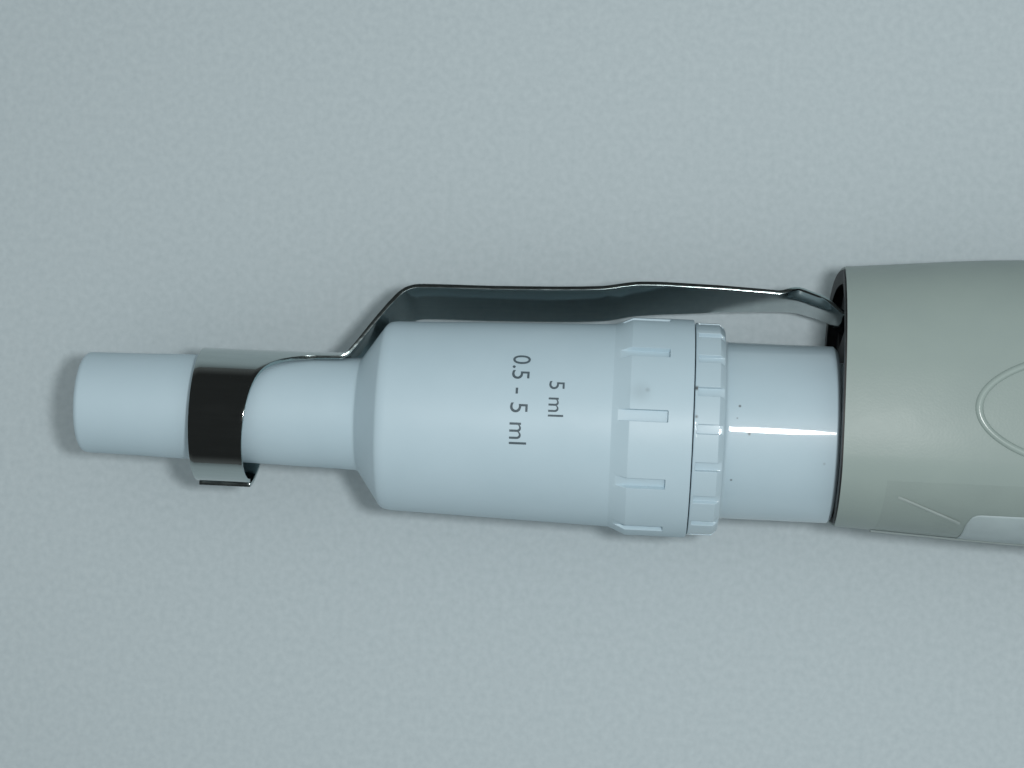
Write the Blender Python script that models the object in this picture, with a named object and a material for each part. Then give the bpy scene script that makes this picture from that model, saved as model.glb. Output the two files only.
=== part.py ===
"""Electronic pipette lying on its side, as an assembly of separate pieces.

A turned liquid end (lower barrel, threaded coupling, piston and seal) is screwed into a hollow
two-part handle, which holds the stepper drive, the battery, the board and the controls. A
polished steel arm rides beside the barrel and pushes the tip off the nozzle.

Pieces are placed on the liquid end's axis: x runs from the nozzle's end up the handle, y from
the finger hook at the back to the display at the front, z from the right shell to the left.
"""

import math

import bmesh
import bpy
from mathutils import Euler, Matrix, Vector

MM = 0.001
GAP = 0.3 * MM                       # clearance between touching pieces
SIDES = 40                           # facets of the large turned pieces
SMALL_SIDES = 16                     # facets of pins, screws and small holes

# Liquid end, measured along the axis from the nozzle's end
NOZZLE_LENGTH = 40.0 * MM
NOZZLE_TIP_RADIUS = 7.2 * MM
NOZZLE_ROOT_RADIUS = 8.0 * MM
NOZZLE_EDGE = 0.8 * MM
NOZZLE_BORE_RADIUS = 1.8 * MM
NOZZLE_MOUTH = 0.6 * MM
CONE_LENGTH = 3.4 * MM
BARREL_LENGTH = 32.5 * MM
BARREL_FRONT_RADIUS = 13.45 * MM
BARREL_BACK_RADIUS = 14.35 * MM
COLLAR_LENGTH = 10.8 * MM
COLLAR_CHAMFER = 2.4 * MM
COLLAR_RADIUS = 15.4 * MM
COLLAR_SLOTS = 10
COLLAR_SLOT_WIDTH = 1.7 * MM
COLLAR_SLOT_DEPTH = 0.7 * MM
COLLAR_SLOT_LENGTH = 7.6 * MM
COLLAR_SLOT_TURN = 6.8
CHAMBER_RADIUS = 9.4 * MM

# Threaded coupling: knurled ring, neck and the spigot that screws into the handle
RING_LENGTH = 4.2 * MM
RING_RADIUS = 15.0 * MM
RING_SLOTS = 18
RING_SLOT_WIDTH = 1.3 * MM
RING_SLOT_DEPTH = 0.6 * MM
RING_SLOT_TURN = 1.1
NECK_LENGTH = 15.5 * MM
NECK_RADIUS = 12.45 * MM
SPIGOT_RADIUS = 10.2 * MM
SPIGOT_LENGTH = 10.8 * MM
SOCKET_WALL = 0.5 * MM
COUPLING_THREAD_RADIUS = 12.0 * MM
COUPLING_THREAD_LENGTH = 6.5 * MM

# Piston and its seal
PISTON_RADIUS = 8.9 * MM
PISTON_LENGTH = 44.0 * MM
PISTON_STROKE = 20.0 * MM
PISTON_ROD_RADIUS = 4.0 * MM
SEAL_LENGTH = 1.6 * MM

# Handle shells
HANDLE_LENGTH = 177.9 * MM
HALF_WIDTH = 17.5 * MM
BOTTOM_NARROWING = 0.5 * MM
WALL = 1.6 * MM
SEAM = 0.3 * MM
FLAT_FRONT = 7.0 * MM                # the sides are flat from here
FLAT_BACK = 2.0 * MM                 # to here, so that the handle lies still
TOP_ROUND = 9.0 * MM
FACE_FROM_TOP = 32.0 * MM            # head face: its middle, height and lean
FACE_HEIGHT = 15.6 * MM
FACE_LEAN = math.radians(8.0)
QUARTER_POINTS = 7                   # facets of each quarter of the handle's section
GRIP_SQUARENESS = 2.3
HEAD_SQUARENESS = 4.5

# Steel tip ejector
ARM_THICKNESS = 0.6 * MM
ARM_WIDTH = 11.0 * MM
ARM_TURN = math.radians(-18.0)
ARM_RING_START = 16.6 * MM
ARM_RING_LENGTH = 7.9 * MM
ARM_RING_RADIUS = 9.15 * MM
ARM_RING_OFFSET = -1.0 * MM
ARM_FLARE = 6.0 * MM
ARM_END_INSIDE = 27.5 * MM
EJECTOR_TRAVEL = 10.0 * MM
ROD_THICKNESS = 3.0 * MM
ROD_WIDTH = 9.0 * MM
SPRING_RADIUS = 2.4 * MM
SPRING_WIRE = 0.35 * MM
SPRING_TURNS = 7

# Drive
MOTOR_RADIUS = 10.0 * MM
MOTOR_LENGTH = 22.0 * MM
ROTOR_RADIUS = 6.6 * MM
SCREW_RADIUS = 2.2 * MM
GUIDE_ROD_RADIUS = 1.5 * MM
GUIDE_ROD_SPACING = 16.0 * MM
GUIDE_BLOCK_LENGTH = 6.0 * MM
PLATE_THICKNESS = 2.0 * MM
BATTERY_RADIUS = 5.1 * MM
BATTERY_LENGTH = 44.0 * MM
BOARD_THICKNESS = 1.2 * MM

# Controls
BEZEL_LENGTH = 52.0 * MM
BEZEL_WIDTH = 23.4 * MM
WINDOW_LENGTH = 21.0 * MM
WINDOW_WIDTH = 18.0 * MM
KEY_LENGTH = 4.4 * MM
KEY_WIDTH = 6.4 * MM
KEY_TRAVEL = 0.6 * MM
STICK_HOLE_RADIUS = 5.5 * MM
STICK_TILT = math.radians(8.0)
BUTTON_LENGTH = 20.0 * MM
BUTTON_WIDTH = 14.0 * MM
TRIGGER_LENGTH = 26.0 * MM
TRIGGER_WIDTH = 11.0 * MM
TRIGGER_PROUD = 5.0 * MM
TRIGGER_PIN_RADIUS = 1.2 * MM
HOOK_STEM = 16.0 * MM
HOOK_BEND = 14.0 * MM
OVAL_LENGTH = 38.6 * MM
OVAL_WIDTH = 15.8 * MM
OVAL_BEAD = 0.5 * MM

# Places up the handle, from its lower end
BUTTON_UP = 77.5 * MM
GUIDE_UP = 31.5 * MM
BOARD_UP = 38.5 * MM
BOARD_LENGTH = 62.0 * MM
TRIGGER_UP = 106.5 * MM
HOOK_UP = 125.5 * MM
OVAL_UP = 36.4 * MM
CONTACTS_FROM_TOP = 23.0 * MM

# Places worked out from the sizes above
BARREL_START = NOZZLE_LENGTH + CONE_LENGTH
COLLAR_START = BARREL_START + BARREL_LENGTH
COLLAR_END = COLLAR_START + COLLAR_LENGTH
RING_START = COLLAR_END + GAP
RING_END = RING_START + RING_LENGTH
NECK_END = RING_END + NECK_LENGTH
HANDLE_START = NECK_END + GAP
HANDLE_TOP = HANDLE_START + HANDLE_LENGTH
SPIGOT_END = NECK_END + SPIGOT_LENGTH
FACE_X = HANDLE_TOP - FACE_FROM_TOP
POCKET_START = RING_START - COUPLING_THREAD_LENGTH - 4.5 * MM
PISTON_START = BARREL_START + 2.9 * MM
PISTON_END = PISTON_START + PISTON_LENGTH
GUIDE_BLOCK_START = SPIGOT_END + 6.0 * MM
MOTOR_PLATE_START = GUIDE_BLOCK_START + GUIDE_BLOCK_LENGTH + PISTON_STROKE + 4.0 * MM
MOTOR_START = MOTOR_PLATE_START + PLATE_THICKNESS + GAP
MOTOR_END = MOTOR_START + MOTOR_LENGTH
ARM_RIDE = 16.5 * MM                 # the arm's middle, from the axis, where it enters the handle
ROD_RIDE = ARM_RIDE + ARM_THICKNESS / 2 + GAP
ROD_START = HANDLE_START + 5.0 * MM + EJECTOR_TRAVEL
BUTTON_START = HANDLE_START + BUTTON_UP
ROD_END = BUTTON_START + BUTTON_LENGTH - 2.0 * MM
GUIDE_START = HANDLE_START + GUIDE_UP
SPRING_RIDE = 13.7 * MM
SPRING_START = GUIDE_START + 3.0 * MM + GAP
SPRING_END = SPRING_START + 24.5 * MM
BUTTON_FLOOR = 26.2 * MM
BOARD_Z = HALF_WIDTH - 5.5 * MM
BOARD_START = HANDLE_START + BOARD_UP
BOARD_END = BOARD_START + BOARD_LENGTH
BATTERY_START = BOARD_START + 4.0 * MM
BATTERY_Y = 15.2 * MM
BATTERY_Z = 5.6 * MM
TRIGGER_PIVOT = (HANDLE_START + TRIGGER_UP, -11.2 * MM)
HOOK_X = HANDLE_START + HOOK_UP
OVAL_CENTRE = (HANDLE_START + OVAL_UP, 4.9 * MM)
CONTACT_X = HANDLE_TOP - CONTACTS_FROM_TOP

# Where the handle's profile passes: distance up the handle, front edge, back edge
PROFILE = (
    (0.0 * MM, 23.7 * MM, 12.75 * MM),
    (25.0 * MM, 25.6 * MM, 14.0 * MM),
    (60.0 * MM, 25.9 * MM, 15.0 * MM),
    (92.0 * MM, 25.0 * MM, 15.2 * MM),
    (106.0 * MM, 22.6 * MM, 15.3 * MM),
)
HEAD_BACK = 15.6 * MM

for leftover in list(bpy.data.objects):
    bpy.data.objects.remove(leftover, do_unlink=True)


def finish(name, colour, roughness, metallic=0.0):
    material = bpy.data.materials.new(name)
    material.use_nodes = True
    shader = material.node_tree.nodes["Principled BSDF"]
    shader.inputs["Base Color"].default_value = (*colour, 1.0)
    shader.inputs["Roughness"].default_value = roughness
    shader.inputs["Metallic"].default_value = metallic
    return material


WHITE_PLASTIC = finish("white_plastic", (0.56, 0.63, 0.67), 0.35)
GREY_PLASTIC = finish("grey_plastic", (0.33, 0.35, 0.33), 0.55)
BLACK_PLASTIC = finish("black_plastic", (0.03, 0.03, 0.035), 0.5)
DARK_GREY_PLASTIC = finish("dark_grey_plastic", (0.10, 0.11, 0.12), 0.5)
STEEL = finish("polished_steel", (0.62, 0.62, 0.60), 0.12, 1.0)
ZINC_STEEL = finish("zinc_plated_steel", (0.55, 0.56, 0.57), 0.35, 1.0)
PTFE = finish("ptfe", (0.85, 0.85, 0.83), 0.4)
RUBBER = finish("rubber", (0.02, 0.02, 0.02), 0.7)
BOARD_GREEN = finish("circuit_board", (0.02, 0.14, 0.05), 0.45)
CLEAR_WINDOW = finish("display_window", (0.05, 0.06, 0.06), 0.05)
DISPLAY_GREY = finish("display_glass", (0.32, 0.36, 0.30), 0.2)
BATTERY_SLEEVE = finish("battery_sleeve", (0.05, 0.12, 0.30), 0.4)
BRONZE = finish("sintered_bronze", (0.50, 0.33, 0.14), 0.5, 1.0)
GOLD_CONTACT = finish("gold_contact", (0.80, 0.58, 0.20), 0.25, 1.0)

pipette = bpy.data.objects.new("pipette", None)
head_face = bpy.data.objects.new("head_face", None)
for empty in (pipette, head_face):
    bpy.context.collection.objects.link(empty)
head_face.parent = pipette
head_face.location = (FACE_X, FACE_HEIGHT, 0.0)
head_face.rotation_euler = (0.0, 0.0, -FACE_LEAN)


# Modelling helpers

def circle(radius, sides=SMALL_SIDES, centre=(0.0, 0.0)):
    return [
        (centre[0] + radius * math.cos(math.tau * i / sides),
         centre[1] + radius * math.sin(math.tau * i / sides))
        for i in range(sides)
    ]


def rounded_rectangle(length, width, radius, centre=(0.0, 0.0), steps=3):
    """Outline with a quarter arc at each corner."""
    points = []
    for quarter in range(4):
        across = 1 if quarter in (0, 3) else -1
        along = 1 if quarter in (0, 1) else -1
        middle = (across * (length / 2 - radius), along * (width / 2 - radius))
        for step in range(steps + 1):
            angle = math.pi / 2 * (quarter + step / steps)
            points.append((centre[0] + middle[0] + radius * math.cos(angle),
                           centre[1] + middle[1] + radius * math.sin(angle)))
    return points


def extruded(outline, along, low, high):
    """Raise an outline in the other two axes from low to high along one axis."""
    place = {
        "x": lambda a, b: (low, a, b),
        "y": lambda a, b: (a, low, b),
        "z": lambda a, b: (a, b, low),
    }[along]
    shape = bmesh.new()
    base = shape.faces.new([shape.verts.new(place(a, b)) for a, b in outline])
    grown = bmesh.ops.extrude_face_region(shape, geom=[base])
    moved = [item for item in grown["geom"] if isinstance(item, bmesh.types.BMVert)]
    step = {"x": (high - low, 0, 0), "y": (0, high - low, 0), "z": (0, 0, high - low)}[along]
    bmesh.ops.translate(shape, verts=moved, vec=step)
    bmesh.ops.recalc_face_normals(shape, faces=shape.faces)
    return shape


def block(x, y, z):
    shape = bmesh.new()
    bmesh.ops.create_cube(shape, size=1.0)
    spans = (x, y, z)
    bmesh.ops.scale(shape, verts=shape.verts, vec=[high - low for low, high in spans])
    middle = [(low + high) / 2 for low, high in spans]
    bmesh.ops.translate(shape, verts=shape.verts, vec=middle)
    return shape


def turned(profile, sides=SIDES):
    """Spin an outline of (x, radius) points about X. It closes on itself or on the axis."""
    shape = bmesh.new()
    points = [shape.verts.new((x, radius, 0.0)) for x, radius in profile]
    edges = [shape.edges.new(pair) for pair in zip(points, points[1:])]
    if profile[0][1] > 0.0:
        edges.append(shape.edges.new((points[-1], points[0])))
    bmesh.ops.spin(shape, geom=points + edges, cent=(0, 0, 0), axis=(1, 0, 0),
                   angle=math.tau, steps=sides, use_merge=True, use_duplicate=False)
    bmesh.ops.remove_doubles(shape, verts=shape.verts, dist=1e-7)
    bmesh.ops.recalc_face_normals(shape, faces=shape.faces)
    return shape


def rod(radius, start, end, y=0.0, z=0.0, sides=SMALL_SIDES):
    return extruded(circle(radius, sides, (y, z)), "x", start, end)


def swept(path, radius, sides, closed):
    """Round tube along a list of points."""
    shape = bmesh.new()
    rings = []
    count = len(path)
    for i, point in enumerate(path):
        ahead = path[(i + 1) % count] if closed or i + 1 < count else path[i]
        behind = path[i - 1] if closed or i > 0 else path[i]
        along = (Vector(ahead) - Vector(behind)).normalized()
        aside = along.cross(Vector((0, 0, 1)) if abs(along.z) < 0.9 else Vector((0, 1, 0)))
        aside.normalize()
        over = aside.cross(along)
        rings.append([
            shape.verts.new(Vector(point) + radius * (a * aside + b * over))
            for a, b in circle(1.0, sides)
        ])
    spans = count if closed else count - 1
    for i in range(spans):
        first, second = rings[i], rings[(i + 1) % count]
        for k in range(sides):
            m = (k + 1) % sides
            shape.faces.new((first[k], first[m], second[m], second[k]))
    if not closed:
        shape.faces.new(rings[0])
        shape.faces.new(rings[-1])
    bmesh.ops.recalc_face_normals(shape, faces=shape.faces)
    return shape


def lofted(rings):
    """Skin a row of equal rings and close both ends."""
    shape = bmesh.new()
    rows = [[shape.verts.new(point) for point in ring] for ring in rings]
    for first, second in zip(rows, rows[1:]):
        for k in range(len(first)):
            m = (k + 1) % len(first)
            shape.faces.new((first[k], first[m], second[m], second[k]))
    shape.faces.new(rows[0])
    shape.faces.new(rows[-1])
    bmesh.ops.recalc_face_normals(shape, faces=shape.faces)
    return shape


def together(*shapes):
    """Put separate solids in one mesh."""
    whole = bmesh.new()
    for shape in shapes:
        part = bpy.data.meshes.new("part")
        shape.to_mesh(part)
        shape.free()
        whole.from_mesh(part)
        bpy.data.meshes.remove(part)
    return whole


def moved(shape, offset=(0, 0, 0), turn=(0, 0, 0)):
    matrix = Matrix.Translation(offset) @ Euler(turn).to_matrix().to_4x4()
    bmesh.ops.transform(shape, matrix=matrix, verts=shape.verts)
    return shape


def mirrored(shape):
    bmesh.ops.scale(shape, verts=shape.verts, vec=(1, 1, -1))
    bmesh.ops.recalc_face_normals(shape, faces=shape.faces)
    return shape


def add(name, shape, material, parent=None, location=(0, 0, 0), turn=(0, 0, 0), crease=35.0):
    mesh = bpy.data.meshes.new(name)
    shape.to_mesh(mesh)
    shape.free()
    if material:
        mesh.materials.append(material)
    mesh.shade_smooth()
    mesh.set_sharp_from_angle(angle=math.radians(crease))
    piece = bpy.data.objects.new(name, mesh)
    bpy.context.collection.objects.link(piece)
    piece.parent = parent or pipette
    piece.location = location
    piece.rotation_euler = turn
    return piece


def add_each(name, shapes, material):
    """Give each copy of a repeated piece its own numbered object."""
    for number, shape in enumerate(shapes, 1):
        add(f"{name}_{number}", shape, material)


def boolean(piece, shape, operation):
    """Cut a shape from a piece, or join it on, with a hidden guide object."""
    guide = add(f"{piece.name}_{operation.lower()}_{len(piece.modifiers)}", shape, None, piece)
    guide.hide_render = True
    guide.display_type = "WIRE"
    step = piece.modifiers.new(guide.name, "BOOLEAN")
    step.operation = operation
    step.object = guide
    step.solver = "EXACT"
    return guide


def cut(piece, *shapes):
    return boolean(piece, together(*shapes), "DIFFERENCE")


def join(piece, *shapes):
    return boolean(piece, together(*shapes), "UNION")


def round_edges(piece, width, segments=2, angle=40.0):
    bevel = piece.modifiers.new("rounded_edges", "BEVEL")
    bevel.width = width
    bevel.segments = segments
    bevel.limit_method = "ANGLE"
    bevel.angle_limit = math.radians(angle)


def slots(count, first_turn, width, depth, radius, start, end):
    """Cutters for straight grooves round a turned piece, the first one turned from +Z."""
    cutters = []
    for i in range(count):
        cutter = block((start, end), (-width / 2, width / 2), (radius - depth, radius + depth))
        turn = math.radians(-first_turn) - math.tau * i / count
        cutters.append(moved(cutter, turn=(turn, 0, 0)))
    return cutters


def on_arm_line(shape):
    """Turn a shape that is modelled along +Y onto the ejector's line."""
    return moved(shape, turn=(ARM_TURN, 0, 0))


# Handle form: everything in the handle reads its outer and inner surface from here

def smoothly(keys, x, column):
    """Catmull-Rom curve through the profile's points."""
    i = max(j for j in range(len(keys) - 1) if keys[j][0] <= x)
    first, second = keys[i], keys[i + 1]
    before = keys[max(i - 1, 0)]
    after = keys[min(i + 2, len(keys) - 1)]
    span = second[0] - first[0]
    t = (x - first[0]) / span
    slope_in = (second[column] - before[column]) / (second[0] - before[0]) * span
    slope_out = (after[column] - first[column]) / (after[0] - first[0]) * span
    return ((2 * t ** 3 - 3 * t ** 2 + 1) * first[column] + (t ** 3 - 2 * t ** 2 + t) * slope_in
            + (3 * t ** 2 - 2 * t ** 3) * second[column] + (t ** 3 - t ** 2) * slope_out)


def face_line(x):
    """The head's front, a straight line that leans back towards the top."""
    return FACE_HEIGHT - (x - FACE_X) * math.tan(FACE_LEAN)


FACE_START = FACE_X - 0.52 * BEZEL_LENGTH
KEYS = (
    *((HANDLE_START + up, front, back) for up, front, back in PROFILE if up < FACE_START - HANDLE_START),
    (FACE_START, face_line(FACE_START), HEAD_BACK),
    (FACE_X, face_line(FACE_X), HEAD_BACK),
    (HANDLE_TOP, face_line(HANDLE_TOP), HEAD_BACK),
)


def section_sizes(x, inset):
    """Front and back reach, half width, squareness and closing factor at one place."""
    x = min(max(x, HANDLE_START), HANDLE_TOP - 1e-6)
    front = smoothly(KEYS, x, 1) - inset
    back = smoothly(KEYS, x, 2) - inset
    narrowing = BOTTOM_NARROWING * max(0.0, 1 - (x - HANDLE_START) / (18 * MM)) ** 2
    half_width = HALF_WIDTH - narrowing - inset
    blend = min(max((x - FACE_START + 26 * MM) / (30 * MM), 0.0), 1.0)
    squareness = GRIP_SQUARENESS + (HEAD_SQUARENESS - GRIP_SQUARENESS) * blend
    top = HANDLE_TOP - inset
    into = min(max(x - (top - TOP_ROUND + inset), 0.0), TOP_ROUND - inset)
    closing = 0.45 + 0.55 * math.sqrt(1 - (into / (TOP_ROUND - inset)) ** 2)
    return front, back, half_width, squareness, closing


def section_point(x, inset, angle, ahead):
    """Point (y, z) of the section, angle 0 at the front and pi at the back."""
    front, back, half_width, squareness, closing = section_sizes(x, inset)
    power = squareness if ahead else GRIP_SQUARENESS
    start = FLAT_FRONT if ahead else FLAT_BACK
    reach = (front if ahead else back) - start
    y = abs(math.cos(angle)) ** (2 / power) * reach + start
    y = y if ahead else -y
    z = math.sin(angle) ** (2 / power) * half_width
    middle = (front - back) / 2
    return middle + (y - middle) * closing, z * closing


def side_height(x, y, inset=0.0):
    """Height of the handle's side over one point of its middle plane."""
    front, back, half_width, squareness, _ = section_sizes(x, inset)
    if y > FLAT_FRONT:
        share = (y - FLAT_FRONT) / (front - FLAT_FRONT)
        return half_width * max(0.0, 1 - share ** squareness) ** (1 / squareness)
    if y < -FLAT_BACK:
        share = (-y - FLAT_BACK) / (back - FLAT_BACK)
        return half_width * max(0.0, 1 - share ** GRIP_SQUARENESS) ** (1 / GRIP_SQUARENESS)
    return half_width


def half_rim(x, inset):
    """Front quarter, then back quarter. The side's flat lies between the two."""
    quarter = [math.pi / 2 * i / QUARTER_POINTS for i in range(QUARTER_POINTS + 1)]
    rim = [section_point(x, inset, angle, True) for angle in quarter]
    return rim + [section_point(x, inset, angle + math.pi / 2, False) for angle in quarter]


def half_section(x, inset, floor):
    rim = half_rim(x, inset)
    if floor > 0:
        return [(x, y, max(z, floor)) for y, z in rim]
    return [(x, rim[0][0], floor)] + [(x, y, max(z, 0.0)) for y, z in rim] + [(x, rim[-1][0], floor)]


def stations(start, top, rounding):
    step = 11 * MM
    straight = [start + step * i for i in range(int((top - rounding - start) / step) + 1)]
    arc = [top - rounding + rounding * math.sin(math.pi / 2 * i / 4) for i in range(5)]
    return [x for x in straight if x < arc[0] - 2 * MM] + arc


def half_handle():
    """One half of the hollow handle, above the seam, with its lower rim eased."""
    edge = 0.4 * MM
    outer = [half_section(HANDLE_START, edge, SEAM / 2)]
    outer += [half_section(x, 0.0, SEAM / 2)
              for x in stations(HANDLE_START + edge, HANDLE_TOP, TOP_ROUND)]
    hollow_top = HANDLE_TOP - WALL
    hollow = [half_section(x, WALL, -1 * MM)
              for x in stations(HANDLE_START - 2 * MM, hollow_top, TOP_ROUND - WALL)]
    return lofted(outer), lofted(hollow)


# Liquid end

def lower_barrel():
    """One moulding: nozzle, cone, barrel and the slotted collar that grips it."""
    nozzle_step = 10.6 * MM
    nozzle_ease = NOZZLE_TIP_RADIUS + 0.2 * (NOZZLE_ROOT_RADIUS - NOZZLE_TIP_RADIUS)
    corner = 1.2 * MM
    profile = [
        (0.0, NOZZLE_BORE_RADIUS + NOZZLE_MOUTH),
        (0.0, NOZZLE_TIP_RADIUS - NOZZLE_EDGE),
        (0.3 * NOZZLE_EDGE, NOZZLE_TIP_RADIUS - 0.3 * NOZZLE_EDGE),
        (NOZZLE_EDGE, NOZZLE_TIP_RADIUS),
        (nozzle_step, nozzle_ease),
        (nozzle_step + 0.2 * MM, nozzle_ease + 0.08 * MM),
        (NOZZLE_LENGTH - 1.8 * MM, NOZZLE_ROOT_RADIUS - 0.08 * MM),
        (NOZZLE_LENGTH - 1.6 * MM, NOZZLE_ROOT_RADIUS),
        (NOZZLE_LENGTH, NOZZLE_ROOT_RADIUS),
        (BARREL_START, BARREL_FRONT_RADIUS - 0.6 * MM),
        (BARREL_START + 0.35 * corner, BARREL_FRONT_RADIUS - 0.2 * MM),
        (BARREL_START + corner, BARREL_FRONT_RADIUS),
        (COLLAR_START, BARREL_BACK_RADIUS),
        (COLLAR_START + COLLAR_CHAMFER, COLLAR_RADIUS),
        (COLLAR_END - 0.2 * MM, COLLAR_RADIUS),
        (COLLAR_END, COLLAR_RADIUS - 0.2 * MM),
        (COLLAR_END, COUPLING_THREAD_RADIUS + GAP),
        (POCKET_START, COUPLING_THREAD_RADIUS + GAP),
        (POCKET_START, CHAMBER_RADIUS),
        (PISTON_START - GAP, CHAMBER_RADIUS),
        (BARREL_START - 0.5 * MM, NOZZLE_BORE_RADIUS),
        (NOZZLE_MOUTH, NOZZLE_BORE_RADIUS),
    ]
    barrel = add("lower_barrel", turned(profile), WHITE_PLASTIC)
    slot_end = COLLAR_START + COLLAR_SLOT_LENGTH
    cut(barrel, *slots(COLLAR_SLOTS, COLLAR_SLOT_TURN, COLLAR_SLOT_WIDTH, COLLAR_SLOT_DEPTH,
                       COLLAR_RADIUS, COLLAR_START - 1 * MM, slot_end))


def upper_coupling():
    """Slotted nut ring, neck and both threaded spigots in one moulding."""
    ease = 0.8 * MM
    profile = [
        (RING_START - COUPLING_THREAD_LENGTH, CHAMBER_RADIUS),
        (RING_START - COUPLING_THREAD_LENGTH, COUPLING_THREAD_RADIUS),
        (RING_START, COUPLING_THREAD_RADIUS),
        (RING_START, RING_RADIUS - 0.2 * MM),
        (RING_START + 0.2 * MM, RING_RADIUS),
        (RING_END - ease, RING_RADIUS),
        (RING_END, RING_RADIUS - ease),
        (RING_END, NECK_RADIUS + 0.6 * MM),
        (RING_END + 0.2 * MM, NECK_RADIUS + 0.2 * MM),
        (RING_END + 0.7 * MM, NECK_RADIUS),
        (NECK_END - 0.5 * MM, NECK_RADIUS),
        (NECK_END, NECK_RADIUS - 0.4 * MM),
        (NECK_END, SPIGOT_RADIUS),
        (SPIGOT_END, SPIGOT_RADIUS),
        (SPIGOT_END, CHAMBER_RADIUS),
    ]
    coupling = add("upper_coupling", turned(profile), WHITE_PLASTIC)
    cut(coupling, *slots(RING_SLOTS, RING_SLOT_TURN, RING_SLOT_WIDTH, RING_SLOT_DEPTH,
                         RING_RADIUS, RING_START + 0.35 * MM, RING_END + 1 * MM))


def seal_stack():
    """O-ring, scraper and washer between the barrel's shoulder and the coupling's spigot."""
    outside = COUPLING_THREAD_RADIUS
    inside = PISTON_RADIUS + GAP
    start = POCKET_START + GAP
    room = RING_START - COUPLING_THREAD_LENGTH - GAP - start
    seal_end = start + SEAL_LENGTH
    retainer_start = RING_START - COUPLING_THREAD_LENGTH - GAP - 0.8 * MM
    ring_room = retainer_start - seal_end - 2 * GAP
    wire = min(ring_room, outside - inside) / 2
    middle_x = (seal_end + retainer_start) / 2
    middle_r = inside + wire
    add("piston_seal", turned([(start, inside), (start, outside), (seal_end, outside),
                               (seal_end, inside)], 32), PTFE)
    add("piston_o_ring", turned([(middle_x + a, middle_r + b)
                                 for a, b in circle(wire, 6)], 24), RUBBER)
    add("seal_retainer", turned([(retainer_start, inside), (retainer_start, outside),
                                 (start + room, outside), (start + room, inside)], 32), STEEL)


def piston_train():
    """Piston, its rod and the drive screw that is pinned into the guide block."""
    ease = 1.0 * MM
    add("piston", turned([
        (PISTON_START, 0.0), (PISTON_START, PISTON_RADIUS - ease),
        (PISTON_START + ease, PISTON_RADIUS), (PISTON_END - 0.5 * MM, PISTON_RADIUS),
        (PISTON_END, PISTON_RADIUS - 0.5 * MM), (PISTON_END, 0.0),
    ], 32), PTFE)
    rod_start = PISTON_END + GAP
    rod_end = GUIDE_BLOCK_START - GAP
    add("piston_rod", turned([
        (rod_start, 0.0), (rod_start, PISTON_ROD_RADIUS + 2 * MM),
        (rod_start + 1.5 * MM, PISTON_ROD_RADIUS + 2 * MM),
        (rod_start + 3.0 * MM, PISTON_ROD_RADIUS), (rod_end - 2 * MM, PISTON_ROD_RADIUS),
        (rod_end, PISTON_ROD_RADIUS + 1 * MM), (rod_end, 0.0),
    ], 16), STEEL)
    half = GUIDE_ROD_SPACING / 2
    end = GUIDE_BLOCK_START + GUIDE_BLOCK_LENGTH
    guide = add("guide_block", extruded(
        rounded_rectangle(8 * MM, GUIDE_ROD_SPACING + 6 * MM, 2 * MM), "x",
        GUIDE_BLOCK_START, end), BLACK_PLASTIC)
    past = 1 * MM
    cut(guide, *(rod(GUIDE_ROD_RADIUS + GAP, GUIDE_BLOCK_START - past, end + past, 0.0, z)
                 for z in (-half, half)),
        rod(SCREW_RADIUS + GAP, GUIDE_BLOCK_START + 2 * MM, end + past))
    screw_start = GUIDE_BLOCK_START + 2 * MM + GAP
    screw_end = MOTOR_END + PLATE_THICKNESS + 8 * MM
    add("lead_screw", rod(SCREW_RADIUS, screw_start, screw_end), ZINC_STEEL)


# Chassis and motor

def inner_outline(x, play):
    """Outline that fits inside the handle at one place."""
    half = half_rim(x, WALL + play)
    return half + [(y, -z) for y, z in reversed(half[1:-1])]


def nose_plate():
    """Plate that closes the handle below, with the threaded socket and the arm's slot."""
    start = HANDLE_START + 1.3 * MM
    end = start + 3.0 * MM
    plate = add("nose_plate", extruded(inner_outline(HANDLE_START, GAP), "x", start, end),
                BLACK_PLASTIC)
    socket = SPIGOT_RADIUS + GAP
    outside = socket + SOCKET_WALL
    join(plate, turned([(start + 1 * MM, 1 * MM), (start + 1 * MM, outside),
                        (SPIGOT_END + 2.3 * MM, outside), (SPIGOT_END + 2.3 * MM, 1 * MM)]))
    slot = block((start - 1 * MM, end + 1 * MM),
                 (ARM_RIDE - 1.5 * MM, ARM_RIDE + 1.5 * MM),
                 (-ARM_WIDTH / 2 - 0.6 * MM, ARM_WIDTH / 2 + 0.6 * MM))
    cut(plate, turned([(start - 1 * MM, 0.0), (start - 1 * MM, socket),
                       (SPIGOT_END + GAP, socket), (SPIGOT_END + GAP, 0.0)]), on_arm_line(slot))
    half = GUIDE_ROD_SPACING / 2
    cut(plate, rod(PISTON_ROD_RADIUS + 2.0 * MM, SPIGOT_END - 1 * MM, SPIGOT_END + 4 * MM))
    rods_start = SPIGOT_END + 2.3 * MM + GAP
    add_each("guide_rod", [rod(GUIDE_ROD_RADIUS, rods_start, MOTOR_PLATE_START - GAP, 0.0, z)
                           for z in (-half, half)], STEEL)


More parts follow.
